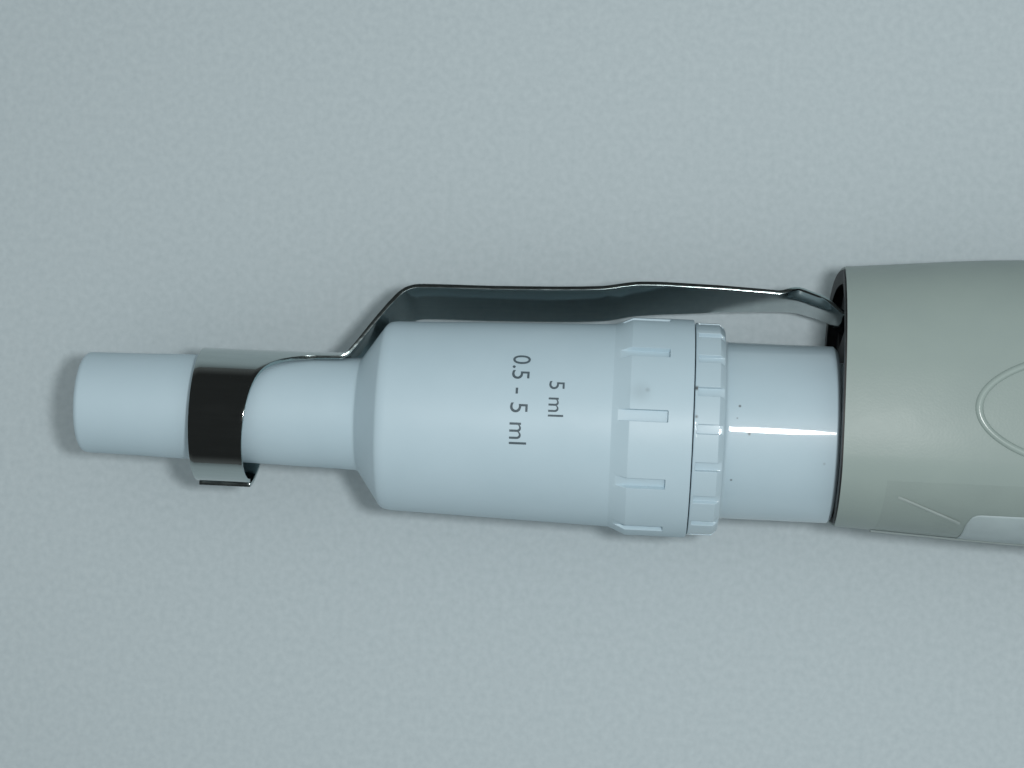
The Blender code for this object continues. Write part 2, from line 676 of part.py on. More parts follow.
def motor_parts():
    """Can-stack linear stepper: bracket, can, end bell, bushes and the rotor that is the nut."""
    foot = side_height(MOTOR_PLATE_START, 0.0, WALL) - GAP
    plate_radius = MOTOR_RADIUS + 0.7 * MM
    plate = add("motor_plate", rod(plate_radius, MOTOR_PLATE_START,
                                   MOTOR_PLATE_START + PLATE_THICKNESS, sides=32), ZINC_STEEL)
    past = 1 * MM
    end = MOTOR_PLATE_START + PLATE_THICKNESS
    join(plate, block((MOTOR_PLATE_START, end), (-FLAT_BACK, FLAT_FRONT - 1 * MM),
                      (-foot, -MOTOR_RADIUS + 3 * MM)))
    cut(plate, rod(SCREW_RADIUS + 2.0 * MM, MOTOR_PLATE_START - past, end + past, sides=24),
        *(rod(1.3 * MM, MOTOR_PLATE_START - past, end + past, y, 0.0) for y in (-8 * MM, 8 * MM)))

    bore = ROTOR_RADIUS + 0.6 * MM
    bush_radius = SCREW_RADIUS + 2.6 * MM
    can_floor = 2.0 * MM
    add("motor_can", turned([
        (MOTOR_START, bush_radius + GAP), (MOTOR_START, MOTOR_RADIUS),
        (MOTOR_END, MOTOR_RADIUS), (MOTOR_END, bore),
        (MOTOR_START + can_floor, bore), (MOTOR_START + can_floor, bush_radius + GAP),
    ], 32), ZINC_STEEL)
    bell_start = MOTOR_END + GAP
    bell_end = bell_start + PLATE_THICKNESS
    add("motor_end_bell", turned([
        (bell_start, bush_radius + GAP), (bell_start, MOTOR_RADIUS),
        (bell_end, MOTOR_RADIUS), (bell_end, bush_radius + GAP),
    ], 32), ZINC_STEEL)
    bush_bore = SCREW_RADIUS + 1.4 * MM
    add_each("motor_bush", [
        turned([(start, bush_bore), (start, bush_radius), (start + can_floor, bush_radius),
                (start + can_floor, bush_bore)], 24)
        for start in (MOTOR_START, bell_start)], BRONZE)
    journal = bush_bore - GAP
    step_low = MOTOR_START + can_floor + GAP
    step_high = MOTOR_END - GAP
    add("rotor_nut", turned([
        (MOTOR_START + 0.2 * MM, SCREW_RADIUS + GAP), (MOTOR_START + 0.2 * MM, journal),
        (step_low, journal), (step_low, ROTOR_RADIUS), (step_high, ROTOR_RADIUS),
        (step_high, journal), (bell_end - 0.2 * MM, journal),
        (bell_end - 0.2 * MM, SCREW_RADIUS + GAP),
    ], 24), BLACK_PLASTIC)
    screw_end = MOTOR_PLATE_START + PLATE_THICKNESS
    add_each("motor_screw", [motor_screw(y, screw_end) for y in (-8 * MM, 8 * MM)], ZINC_STEEL)


def motor_screw(y, end):
    """Screw with its head under the motor plate, turned as one solid."""
    head = turned([(end - PLATE_THICKNESS - 1.3 * MM, 0.0),
                   (end - PLATE_THICKNESS - 1.3 * MM, 1.9 * MM),
                   (end - PLATE_THICKNESS - GAP / 2, 1.9 * MM),
                   (end - PLATE_THICKNESS - GAP / 2, 1.0 * MM),
                   (end, 1.0 * MM), (end, 0.0)], 12)
    return moved(head, (0, y, 0))


def electronics():
    """Main board along the left side, with the cell between its two contact blocks."""
    y_low, y_high = -7.5 * MM, 15.5 * MM
    add("main_board", block((BOARD_START, BOARD_END), (y_low, y_high),
                            (BOARD_Z, BOARD_Z + BOARD_THICKNESS)), BOARD_GREEN)
    cell_end = BATTERY_START + BATTERY_LENGTH
    add("battery_cell", turned([
        (BATTERY_START, 0.0), (BATTERY_START, BATTERY_RADIUS - 0.4 * MM),
        (BATTERY_START + 0.4 * MM, BATTERY_RADIUS), (cell_end - 1.6 * MM, BATTERY_RADIUS),
        (cell_end - 1.2 * MM, BATTERY_RADIUS - 0.4 * MM), (cell_end - 1.0 * MM, 2.0 * MM),
        (cell_end, 2.0 * MM), (cell_end, 0.0),
    ], 24), BATTERY_SLEEVE, location=(0, BATTERY_Y, BATTERY_Z))
    blocks = [block((x, x + 2 * MM),
                    (BATTERY_Y - BATTERY_RADIUS, min(BATTERY_Y + 0.6 * BATTERY_RADIUS, y_high)),
                    (BATTERY_Z - 0.6 * BATTERY_RADIUS, BOARD_Z - GAP))
              for x in (BATTERY_START - 2 * MM - GAP, cell_end + GAP)]
    add_each("battery_contact", blocks, ZINC_STEEL)
    pressed = TRIGGER_PIVOT[1] + 3.4 * MM
    switch_x = TRIGGER_PIVOT[0] - 0.78 * TRIGGER_LENGTH
    add("trigger_switch", block((switch_x, switch_x + 6.5 * MM), (pressed, pressed + 4 * MM),
                                (-3 * MM, BOARD_Z - GAP)), BLACK_PLASTIC)


# Ejector

def arm_ride(x):
    """Distance of the arm's middle from the axis, along its length."""
    handle = HANDLE_START
    line = (
        (ARM_RING_START, 8.1 * MM), (NOZZLE_LENGTH - 9.0 * MM, 8.2 * MM),
        (NOZZLE_LENGTH - 3.5 * MM, 8.5 * MM), (NOZZLE_LENGTH - 1.7 * MM, 9.5 * MM),
        (NOZZLE_LENGTH + 1.2 * MM, 12.4 * MM), (BARREL_START + 1.4 * MM, 15.9 * MM),
        (BARREL_START + 3.3 * MM, 17.5 * MM), (BARREL_START + 6.5 * MM, 18.4 * MM),
        (COLLAR_START - 3.0 * MM, 18.6 * MM),
        (COLLAR_START + 3.0 * MM, 19.7 * MM), (RING_END, 19.4 * MM),
        (handle - 7.5 * MM, 18.5 * MM), (handle - 3.0 * MM, 17.2 * MM),
        (handle + 1.5 * MM, ARM_RIDE), (handle + ARM_END_INSIDE, ARM_RIDE),
    )
    return smoothly(line, min(x, line[-1][0] - 1e-6), 1)


def ejector_arm():
    """Strip bent from one blank: a ring round the nozzle that runs out into a flat arm."""
    ring_columns = 30
    strip_columns = 6
    ring_end = ARM_RING_START + ARM_RING_LENGTH
    flare_span = math.radians(100.0)
    strip_half = math.radians(180.0 * strip_columns / ring_columns)
    shape = bmesh.new()

    def ring_point(x, angle):
        return (x, ARM_RING_OFFSET + ARM_RING_RADIUS * math.cos(angle),
                ARM_RING_RADIUS * math.sin(angle))

    def flare(aside):
        """How far the ring's upper edge runs out towards the strip."""
        share = max(0.0, (flare_span - aside) / (flare_span - strip_half))
        return ARM_FLARE * min(share, 1.0) ** 3

    rows = [[], [], []]
    asides = []
    for k in range(ring_columns):
        aside = math.tau * (k - strip_columns / 2) / ring_columns
        aside = aside if aside <= math.pi else aside - math.tau
        asides.append(aside)
        angle = ARM_TURN + aside
        run = flare(abs(aside))
        rows[0].append(shape.verts.new(ring_point(ARM_RING_START, angle)))
        rows[1].append(shape.verts.new(ring_point(ring_end - 1.5 * MM + 0.4 * run, angle)))
        rows[2].append(shape.verts.new(ring_point(ring_end + run, angle)))
    for first, second in zip(rows, rows[1:]):
        for k in range(ring_columns):
            m = (k + 1) % ring_columns
            shape.faces.new((first[k], first[m], second[m], second[k]))

    start = ring_end + ARM_FLARE
    end = HANDLE_START + ARM_END_INSIDE
    bend = NOZZLE_LENGTH - 6 * MM
    places = [start + (bend - start) * i / 2 for i in (1, 2)]
    places += [bend + (BARREL_START + 7 * MM - bend) * i / 9 for i in range(1, 10)]
    places += [BARREL_START + 7 * MM + (COLLAR_START - 4 * MM - BARREL_START - 7 * MM) * i / 2
               for i in (1, 2)]
    places += [COLLAR_START - 4 * MM + (RING_END - COLLAR_START + 4 * MM) * i / 4
               for i in range(1, 5)]
    places += [RING_END + (HANDLE_START + 2 * MM - RING_END) * i / 7 for i in range(1, 8)]
    places += [HANDLE_START + 2 * MM + (end - HANDLE_START - 2 * MM) * i / 2 for i in (1, 2)]
    row = rows[2][:strip_columns + 1]
    for x in places:
        flatness = min(max((x - bend) / (BARREL_START - bend), 0.0), 1.0)
        following = []
        for k in range(strip_columns + 1):
            aside = asides[k]
            curved_y = ARM_RING_RADIUS * (math.cos(aside) - 1)
            curved_z = ARM_RING_RADIUS * math.sin(aside)
            flat_z = ARM_WIDTH / 2 * curved_z / (ARM_RING_RADIUS * math.sin(strip_half))
            y = arm_ride(x) + curved_y * (1 - flatness)
            z = curved_z * (1 - flatness) + flat_z * flatness
            turn = Matrix.Rotation(ARM_TURN, 2)
            across = turn @ Vector((y, z))
            following.append(shape.verts.new((x, across[0], across[1])))
        for k in range(strip_columns):
            shape.faces.new((row[k], row[k + 1], following[k + 1], following[k]))
        row = following
    bmesh.ops.recalc_face_normals(shape, faces=shape.faces)
    arm = add("ejector_arm", shape, STEEL)
    sheet = arm.modifiers.new("sheet_thickness", "SOLIDIFY")
    sheet.thickness = ARM_THICKNESS
    sheet.offset = 0.0
    sheet.use_even_offset = True
    holes = [moved(extruded(circle(1.3 * MM, 12, (x, 0.0)), "z", ARM_RIDE - 2 * MM, ARM_RIDE + 2 * MM),
                   turn=(math.radians(-90) + ARM_TURN, 0, 0)) for x in arm_screw_places()]
    cut(arm, *holes)


def arm_screw_places():
    inside = HANDLE_START + ARM_END_INSIDE - ROD_START
    return (ROD_START + 0.3 * inside, ROD_START + 0.75 * inside)


def ejector_drive():
    """Push rod with its spring lug, the guide on the shell, the spring and the thumb button."""
    side = (-ROD_WIDTH / 2, ROD_WIDTH / 2)
    rod_y = (ROD_RIDE, ROD_RIDE + ROD_THICKNESS)
    bar = add("ejector_rod", on_arm_line(block((ROD_START, ROD_END), rod_y, side)), BLACK_PLASTIC)
    lug = block((SPRING_END + GAP, SPRING_END + GAP + 3 * MM),
                (SPRING_RIDE - SPRING_RADIUS, ROD_RIDE + 1 * MM), (-3 * MM, 3 * MM))
    join(bar, on_arm_line(lug))
    holes = [moved(extruded(circle(1.3 * MM, 12, (x, 0.0)), "z", ROD_RIDE - 2 * MM, ROD_RIDE + 2 * MM),
                   turn=(math.radians(-90) + ARM_TURN, 0, 0)) for x in arm_screw_places()]
    cut(bar, *holes)
    heads = []
    for x in arm_screw_places():
        head = turned([(ARM_RIDE - ARM_THICKNESS / 2 - 1.4 * MM, 0.0),
                       (ARM_RIDE - ARM_THICKNESS / 2 - 1.4 * MM, 2.0 * MM),
                       (ARM_RIDE - ARM_THICKNESS / 2 - GAP / 2, 2.0 * MM),
                       (ARM_RIDE - ARM_THICKNESS / 2 - GAP / 2, 1.0 * MM),
                       (ROD_RIDE + 1.7 * MM, 1.0 * MM), (ROD_RIDE + 1.7 * MM, 0.0)], 12)
        heads.append(moved(moved(head, turn=(0, 0, math.radians(90))), (x, 0, 0)))
    add_each("arm_screw", [on_arm_line(head) for head in heads], ZINC_STEEL)

    guide_end = GUIDE_START + 3 * MM
    guide_side = ROD_WIDTH / 2 + 1.5 * MM
    guide = add("ejector_guide", on_arm_line(block(
        (GUIDE_START, guide_end), (SPRING_RIDE - SPRING_RADIUS - 0.5 * MM, rod_y[1] + 1.3 * MM),
        (-guide_side, guide_side))), DARK_GREY_PLASTIC)
    join(guide, on_arm_line(rod(SPRING_RADIUS - SPRING_WIRE * 2 - 0.4 * MM, guide_end - 1 * MM,
                                SPRING_END - EJECTOR_TRAVEL - 3 * MM, SPRING_RIDE, sides=12)))
    cut(guide, on_arm_line(block((GUIDE_START - 1 * MM, guide_end + 1 * MM),
                                 (rod_y[0] - GAP, rod_y[1] + GAP), (side[0] - GAP, side[1] + GAP))))

    steps = 8
    coil = SPRING_RADIUS - SPRING_WIRE
    length = SPRING_END - SPRING_START - 2 * SPRING_WIRE
    helix = []
    for i in range(SPRING_TURNS * steps + 1):
        angle = math.tau * i / steps
        helix.append((SPRING_START + SPRING_WIRE + length * i / (SPRING_TURNS * steps),
                      SPRING_RIDE + coil * math.cos(angle), coil * math.sin(angle)))
    add("ejector_spring", on_arm_line(swept(helix, SPRING_WIRE, 4, False)), STEEL)

    stem_low = (ROD_RIDE + ROD_THICKNESS) * math.cos(ARM_TURN) - side[1] * math.sin(ARM_TURN) + GAP
    middle = BUTTON_START + BUTTON_LENGTH / 2
    button = add("ejector_button", extruded(
        thumb_profile(), "z", -BUTTON_WIDTH / 2, BUTTON_WIDTH / 2), WHITE_PLASTIC)
    round_edges(button, 0.8 * MM, 2, 50)
    stem_half = BUTTON_LENGTH / 2 - 2 * MM
    join(button, block((middle - stem_half, middle + stem_half), (stem_low, BUTTON_FLOOR + 1 * MM),
                       (-4.0 * MM, 3.0 * MM)))


def thumb_profile():
    """Side outline of the ejector button: flat below, dished above for the thumb."""
    low, high = BUTTON_START, BUTTON_START + BUTTON_LENGTH
    crest = BUTTON_FLOOR + 4.6 * MM
    dish = [(low + BUTTON_LENGTH * t, crest - 1.6 * MM * math.sin(math.pi * t) - 1.8 * MM * (1 - t))
            for t in (1.0, 0.85, 0.65, 0.45, 0.25, 0.1)]
    return [(low, BUTTON_FLOOR), (high, BUTTON_FLOOR), (high + 0.6 * MM, crest - 1 * MM), *dish,
            (low - 0.4 * MM, BUTTON_FLOOR + 1.6 * MM)]


# Controls on the head

def head_controls():
    """Bezel with the display window, soft keys and joystick, all on the leaning face."""
    window_x = 0.22 * BEZEL_LENGTH
    key_x = -0.10 * BEZEL_LENGTH
    key_z = 0.26 * BEZEL_WIDTH
    stick_x = -0.30 * BEZEL_LENGTH
    bezel_low, bezel_high = -1.6 * MM, 0.6 * MM
    bezel = add("head_bezel", extruded(rounded_rectangle(BEZEL_LENGTH, BEZEL_WIDTH, 4 * MM), "y",
                                       bezel_low, bezel_high), DARK_GREY_PLASTIC, head_face)
    past = 1 * MM
    window = rounded_rectangle(WINDOW_LENGTH, WINDOW_WIDTH, 1.5 * MM, (window_x, 0.0))
    keys = [rounded_rectangle(KEY_LENGTH + 2 * GAP, KEY_WIDTH + 2 * GAP, 1.3 * MM, (key_x, z))
            for z in (-key_z, key_z)]
    cut(bezel, extruded(window, "y", bezel_low - past, bezel_high + past),
        *(extruded(key, "y", bezel_low - past, bezel_high + past) for key in keys),
        extruded(circle(STICK_HOLE_RADIUS, 24, (stick_x, 0.0)), "y", bezel_low - past,
                 bezel_high + past))
    add("display_window", extruded(
        rounded_rectangle(WINDOW_LENGTH - 2 * GAP, WINDOW_WIDTH - 2 * GAP, 1.3 * MM, (window_x, 0.0)),
        "y", -1.2 * MM, 0.3 * MM), CLEAR_WINDOW, head_face)
    board_top = -5.3 * MM
    add("display_module", block(
        (window_x - WINDOW_LENGTH / 2 - 1 * MM, window_x + WINDOW_LENGTH / 2 + 1 * MM),
        (board_top + GAP, bezel_low - GAP), (-WINDOW_WIDTH / 2 - 1 * MM, WINDOW_WIDTH / 2 + 1 * MM)),
        DISPLAY_GREY, head_face)
    add("key_board", block(
        (-BEZEL_LENGTH / 2 + 1 * MM, BEZEL_LENGTH / 2 - 1 * MM),
        (board_top - BOARD_THICKNESS, board_top), (-10.2 * MM, 10.2 * MM)), BOARD_GREEN, head_face)
    for name, z in (("left_soft_key", key_z), ("right_soft_key", -key_z)):
        key = add(name, extruded(rounded_rectangle(KEY_LENGTH, KEY_WIDTH, 1.2 * MM), "y",
                                 board_top + KEY_TRAVEL + 0.4 * MM, bezel_high + 1.2 * MM),
                  WHITE_PLASTIC, head_face, (key_x, 0.0, z))
        round_edges(key, 0.3 * MM, 1, 60)
    joystick(stick_x, board_top)


def joystick(stick_x, board_top):
    """Cup on the board, gimbal ring and the domed cap on its stem."""
    pivot = -2.6 * MM
    ring_outer, ring_inner = 3.2 * MM, 2.1 * MM
    cup_bore = ring_outer + 0.4 * MM
    upright = (0, 0, math.radians(90))
    place = (stick_x, pivot, 0.0)
    floor = board_top + GAP - pivot
    add("joystick_base", moved(turned([
        (floor, 0.0), (floor, cup_bore + 1.3 * MM), (0.7 * MM, cup_bore + 1.3 * MM),
        (0.7 * MM, cup_bore), (floor + 0.7 * MM, cup_bore), (floor + 0.7 * MM, 0.0),
    ], 24), turn=upright), BLACK_PLASTIC, head_face, place)
    add("joystick_gimbal", moved(turned([
        (-0.6 * MM, ring_inner), (-0.6 * MM, ring_outer), (0.6 * MM, ring_outer),
        (0.6 * MM, ring_inner),
    ], 24), turn=upright), ZINC_STEEL, head_face, place)
    stem = 1.5 * MM
    cap = 4.2 * MM
    crown = 3.5 * MM
    add("joystick_cap", moved(turned([
        (-1.2 * MM, 0.0), (-1.2 * MM, stem), (crown - 0.8 * MM, stem), (crown, cap - 0.4 * MM),
        (crown + 0.6 * MM, cap), (crown + 1.3 * MM, cap - 0.5 * MM), (crown + 1.7 * MM, 2.4 * MM),
        (crown + 1.4 * MM, 1.4 * MM), (crown + 1.3 * MM, 0.0),
    ], 24), turn=upright), RUBBER, head_face, place)


# Trigger and hook

def trigger():
    """Index-finger lever on a pin between the shells."""
    length = TRIGGER_LENGTH
    surface = HEAD_BACK + TRIGGER_PIVOT[1]
    outside = [(-length * t, -surface - TRIGGER_PROUD * math.sin(math.pi * min(1.0, 0.15 + 0.85 * t)) ** 0.7)
               for t in (0.0, 0.2, 0.4, 0.6, 0.8, 1.0)]
    inside = [(-length, -1.9 * MM), (-length + 1.5 * MM, -0.8 * MM), (-4 * MM, -0.8 * MM),
              (-2.6 * MM, 2.2 * MM), (0.0, 2.8 * MM), (2.3 * MM, 1.6 * MM), (2.6 * MM, -1.5 * MM)]
    outline = outside[1:-1] + [(-length, -surface - 0.4 * MM)] + inside
    lever = add("trigger", extruded(outline, "z", -TRIGGER_WIDTH / 2, TRIGGER_WIDTH / 2),
                WHITE_PLASTIC, location=(*TRIGGER_PIVOT, 0.0))
    cut(lever, extruded(circle(TRIGGER_PIN_RADIUS + GAP, 16), "z", -TRIGGER_WIDTH, TRIGGER_WIDTH))
    reach = TRIGGER_WIDTH / 2 + 3.5 * MM
    add("trigger_pin", extruded(circle(TRIGGER_PIN_RADIUS, 16), "z", -reach, reach),
        STEEL, location=(*TRIGGER_PIVOT, 0.0))


def finger_hook():
    """Hook held between the shells by its inner flange, curling down towards the nozzle."""
    y_root = -10.2 * MM
    half_thick = 2.6 * MM
    path = [(HOOK_X, y_root, half_thick, 5.6 * MM), (HOOK_X, -HEAD_BACK - 1.5 * MM, half_thick, 5.6 * MM),
            (HOOK_X, y_root - HOOK_STEM * 0.7, half_thick, 6.8 * MM)]
    turns = 6
    y_bend = y_root - HOOK_STEM
    rings = []
    for x, y, thick, wide in path:
        rings.append((Vector((x, y)), 0.0, thick, wide))
    for i in range(turns + 1):
        angle = math.radians(78.0) * i / turns
        centre = Vector((HOOK_X - HOOK_BEND + HOOK_BEND * math.cos(angle),
                         y_bend - HOOK_BEND * math.sin(angle)))
        thick = half_thick - 0.8 * MM * i / turns
        wide = 7.4 * MM + 1.2 * MM * math.sin(math.pi * i / turns) - (1.4 * MM if i == turns else 0)
        rings.append((centre, angle, thick, wide))
    loops = []
    for centre, angle, thick, wide in rings:
        aside = Vector((math.cos(angle), -math.sin(angle)))
        loops.append([(centre.x + a * aside.x, centre.y + a * aside.y, b)
                      for a, b in rounded_rectangle(2 * thick, 2 * wide, 0.85 * thick, steps=2)])
    hook = add("finger_hook", lofted(loops), GREY_PLASTIC)
    flange_y = HEAD_BACK - WALL - 3.4 * MM
    join(hook, block((HOOK_X - 7 * MM, HOOK_X + 7 * MM), (-flange_y, -flange_y + 2 * MM),
                     (-8.5 * MM, 8.5 * MM)))


# Shells

def screw_places():
    """Four screws hold the shells together."""
    return (
        (HANDLE_START + 20.5 * MM, 8.8 * MM), (HANDLE_START + 29.5 * MM, -8.8 * MM),
        (HANDLE_START + 109.0 * MM, 8.0 * MM), (HANDLE_TOP - 14.0 * MM, -5.0 * MM),
    )


def openings():
    """What both shells leave open: bezel, button slot, trigger slot, hook and charge contacts."""
    deep = 6 * MM
    face = extruded(rounded_rectangle(BEZEL_LENGTH + 2 * GAP, BEZEL_WIDTH + 2 * GAP, 4 * MM + GAP),
                    "y", -deep, deep)
    moved(face, (FACE_X, FACE_HEIGHT, 0.0), (0, 0, -FACE_LEAN))
    button_slot = block((BUTTON_START + 2 * MM - EJECTOR_TRAVEL - 0.6 * MM, ROD_END + 0.6 * MM),
                        (ROD_RIDE, BUTTON_FLOOR + 4 * MM), (-4.6 * MM, 4.6 * MM))
    trigger_slot = block((TRIGGER_PIVOT[0] - TRIGGER_LENGTH - 0.7 * MM, TRIGGER_PIVOT[0] + 3.2 * MM),
                         (-HEAD_BACK - 3 * MM, TRIGGER_PIVOT[1] + 0.2 * MM),
                         (-TRIGGER_WIDTH / 2 - 0.4 * MM, TRIGGER_WIDTH / 2 + 0.4 * MM))
    hook_hole = block((HOOK_X - 2.6 * MM - GAP, HOOK_X + 2.6 * MM + GAP),
                      (-HEAD_BACK - 3 * MM, -HEAD_BACK + WALL + 2 * MM), (-5.9 * MM, 5.9 * MM))
    contact_hole = block((CONTACT_X - 4 * MM - GAP, CONTACT_X + 4 * MM + GAP),
                         (-HEAD_BACK - 3 * MM, -HEAD_BACK + WALL + 2 * MM), (2 * MM, 6 * MM))
    return face, button_slot, trigger_slot, hook_hole, contact_hole


def oval_bead():
    """Raised oval on the handle's side, following its curve."""
    count = 36
    path = []
    for i in range(count):
        angle = math.tau * i / count
        x = OVAL_CENTRE[0] + OVAL_LENGTH / 2 * math.cos(angle)
        y = OVAL_CENTRE[1] + OVAL_WIDTH / 2 * math.sin(angle)
        path.append((x, y, side_height(x, y) - 0.1 * MM))
    return swept(path, OVAL_BEAD, 6, True)


def shells():
    """Left and right halves: walls, screw posts, trigger pin posts and every opening.

    The cavity is cut around the posts, so that they end at the outer surface.
    """
    post_floor = SEAM / 2
    pin_floor = TRIGGER_WIDTH / 2 + 1 * MM
    for name, mirror in (("left_shell", False), ("right_shell", True)):
        place = mirrored if mirror else (lambda shape: shape)
        outer, hollow = half_handle()
        shell = add(name, place(outer), GREY_PLASTIC)
        pin_x, pin_y = TRIGGER_PIVOT
        posts = [extruded(circle(3.2 * MM, 16, spot), "z", post_floor, HALF_WIDTH + 1 * MM)
                 for spot in screw_places()]
        posts.append(extruded(circle(2.6 * MM, 16, (pin_x, pin_y)), "z", pin_floor,
                              HALF_WIDTH + 1 * MM))
        cavity = cut(shell, place(hollow))
        cut(cavity, *(place(post) for post in posts))
        if not mirror:
            join(shell, oval_bead())
        holes = []
        for x, y in screw_places():
            if mirror:
                seat = side_height(x, y) - 4.6 * MM
                holes.append(moved(turned([(-1 * MM, 0.0), (-1 * MM, 1.4 * MM), (seat, 1.4 * MM),
                                           (seat, 2.4 * MM), (HALF_WIDTH + 1 * MM, 2.4 * MM),
                                           (HALF_WIDTH + 1 * MM, 0.0)], 12),
                                   (x, y, 0), (0, math.radians(-90), 0)))
            else:
                holes.append(extruded(circle(1.3 * MM, 12, (x, y)), "z", -1 * MM, 7 * MM))
        holes.append(extruded(circle(TRIGGER_PIN_RADIUS + GAP, 16, (pin_x, pin_y)), "z",
                              pin_floor - 1 * MM, TRIGGER_WIDTH / 2 + 3.5 * MM + GAP))
        cut(shell, *(place(hole) for hole in holes), *(place(shape) for shape in openings()))


def shell_screws():
    screws = []
    for x, y in screw_places():
        seat = side_height(x, y) - 4.6 * MM
        screw = turned([(-6.5 * MM, 0.0), (-6.5 * MM, 1.0 * MM), (seat + GAP, 1.0 * MM),
                        (seat + GAP, 2.1 * MM), (seat + 2.0 * MM, 2.1 * MM), (seat + 2.0 * MM, 0.0)], 12)
        screws.append(moved(screw, (x, y, 0), (0, math.radians(90), 0)))
    add_each("shell_screw", screws, ZINC_STEEL)


def charge_contacts():
    """Two pads in the head's back that meet the charging stand."""
    pads = [block((CONTACT_X - 4 * MM, CONTACT_X + 4 * MM), (-HEAD_BACK + 0.5 * MM, -HEAD_BACK + 3 * MM),
                  (low, high)) for low, high in ((2.3 * MM, 5.7 * MM), (-5.7 * MM, -2.3 * MM))]
    add_each("charge_contact", pads, GOLD_CONTACT)


def set_down():
    """Lay the pipette on its side on the floor, with the origin under its middle."""
    bpy.context.view_layer.update()
    corners = [piece.matrix_world @ Vector(corner) for piece in bpy.data.objects
               if piece.type == "MESH" and not piece.hide_render for corner in piece.bound_box]
    low = [min(corner[i] for corner in corners) for i in range(3)]
    high = [max(corner[i] for corner in corners) for i in range(3)]
    pipette.location = (-(low[0] + high[0]) / 2, -(low[1] + high[1]) / 2, -low[2])


lower_barrel()
upper_coupling()
seal_stack()
piston_train()
nose_plate()
motor_parts()
electronics()
ejector_arm()
ejector_drive()
head_controls()
trigger()
finger_hook()
shells()
shell_screws()
charge_contacts()
set_down()
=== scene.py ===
import math

import bpy
from mathutils import Matrix, Vector


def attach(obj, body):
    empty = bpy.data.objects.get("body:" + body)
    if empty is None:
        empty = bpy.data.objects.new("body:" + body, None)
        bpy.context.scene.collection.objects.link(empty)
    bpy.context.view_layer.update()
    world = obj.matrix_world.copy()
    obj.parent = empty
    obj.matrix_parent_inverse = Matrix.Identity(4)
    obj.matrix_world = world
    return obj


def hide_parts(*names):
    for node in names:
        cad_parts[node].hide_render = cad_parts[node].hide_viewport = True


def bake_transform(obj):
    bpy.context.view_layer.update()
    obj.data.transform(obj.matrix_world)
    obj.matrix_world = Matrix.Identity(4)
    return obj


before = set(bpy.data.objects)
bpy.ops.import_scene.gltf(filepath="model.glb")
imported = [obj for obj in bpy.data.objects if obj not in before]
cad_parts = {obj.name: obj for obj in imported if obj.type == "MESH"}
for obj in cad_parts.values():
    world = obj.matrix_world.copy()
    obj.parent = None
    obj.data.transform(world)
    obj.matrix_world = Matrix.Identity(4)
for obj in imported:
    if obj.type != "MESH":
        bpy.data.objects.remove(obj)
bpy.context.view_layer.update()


# Bench: the camera looks down on the liquid end and the start of the handle. A small flash sits
# beside the lens, and a soft room lights the rest. The bench is a plain pale liner.
MM = 0.001
CAMERA_PLACE = (-0.0642, 0.0115, 0.3166)
CAMERA_TURN = (0.0, math.radians(3.22), math.radians(2.47))
FLASH_PLACE = (-0.024, 0.020, 0.312)
FLASH_AIM = (-0.030, 0.0, 0.0)
FLASH_SIZE = 28 * MM
FLASH_POWER = 0.43
ROOM_LEVELS = (0.17, 0.60)           # at the horizon and overhead
ROOM_IN_REFLECTIONS = (0.10, 0.025)  # dim walls, dark ceiling
CEILING_START = 0.3                  # height, out of 1, where reflections reach the dark ceiling
ROOM_TINT = (0.96, 1.0, 1.0, 1.0)
SENSOR_WIDTH, FOCAL_LENGTH = 36.0, 74.04


def linear(code):
    """Linear colour of an sRGB hex code."""
    shares = [int(code[i:i + 2], 16) / 255 for i in (0, 2, 4)]
    return (*(s / 12.92 if s <= 0.04045 else ((s + 0.055) / 1.055) ** 2.4 for s in shares), 1.0)


def add_node(tree, kind, inputs=None, **settings):
    """Add one node. An input is a value or the output that feeds it."""
    made = tree.nodes.new("ShaderNode" + kind)
    for name, value in settings.items():
        setattr(made, name, value)
    for name, value in (inputs or {}).items():
        if isinstance(value, bpy.types.NodeSocket):
            tree.links.new(value, made.inputs[name])
        else:
            made.inputs[name].default_value = value
    return made


def new_finish(name):
    """A material, its tree, its shader and the object's own coordinates."""
    made = bpy.data.materials.new(name)
    made.use_nodes = True
    tree = made.node_tree
    return made, tree, tree.nodes["Principled BSDF"], add_node(tree, "TexCoord").outputs["Object"]


def only(*pieces):
    """Select these pieces and nothing else."""
    bpy.ops.object.select_all(action="DESELECT")
    for piece in pieces:
        piece.select_set(True)
    bpy.context.view_layer.objects.active = pieces[0]


def stand(name, data):
    """Put data into the scene as an object."""
    made = bpy.data.objects.new(name, data)
    bpy.context.scene.collection.objects.link(made)
    return made


def mode(name):
    """Switch the active piece to edit or object mode."""
    bpy.ops.object.mode_set(mode=name)


def fresh(name, add, **settings):
    """Add one of Blender's basic shapes under a name."""
    bpy.ops.object.select_all(action="DESELECT")
    add(**settings)
    bpy.context.object.name = name
    return bpy.context.object


def tint(tree, shader, share, deep, light):
    """Colour a shader between two tones."""
    tone = add_node(tree, "Mix", {
        "Factor": share, 6: linear(deep), 7: linear(light)}, data_type="RGBA")
    tree.links.new(tone.outputs[2], shader.inputs["Base Color"])


NOISE_RANGE = (0.3, 0.7)             # most of a noise lies between these


def noise(tree, place, size, detail=2.0, roughness=0.5):
    """A noise from 0 to 1, its cells this many mm across."""
    return add_node(tree, "TexNoise", {
        "Vector": place, "Scale": 1 / (size * MM), "Detail": detail,
        "Roughness": roughness}).outputs["Fac"]


def spread(tree, share, low, high, start=0.0, end=1.0):
    """A value that goes from low to high while the share goes from start to end."""
    return add_node(tree, "MapRange", {
        "Value": share, "From Min": start, "From Max": end,
        "To Min": low, "To Max": high}).outputs["Result"]


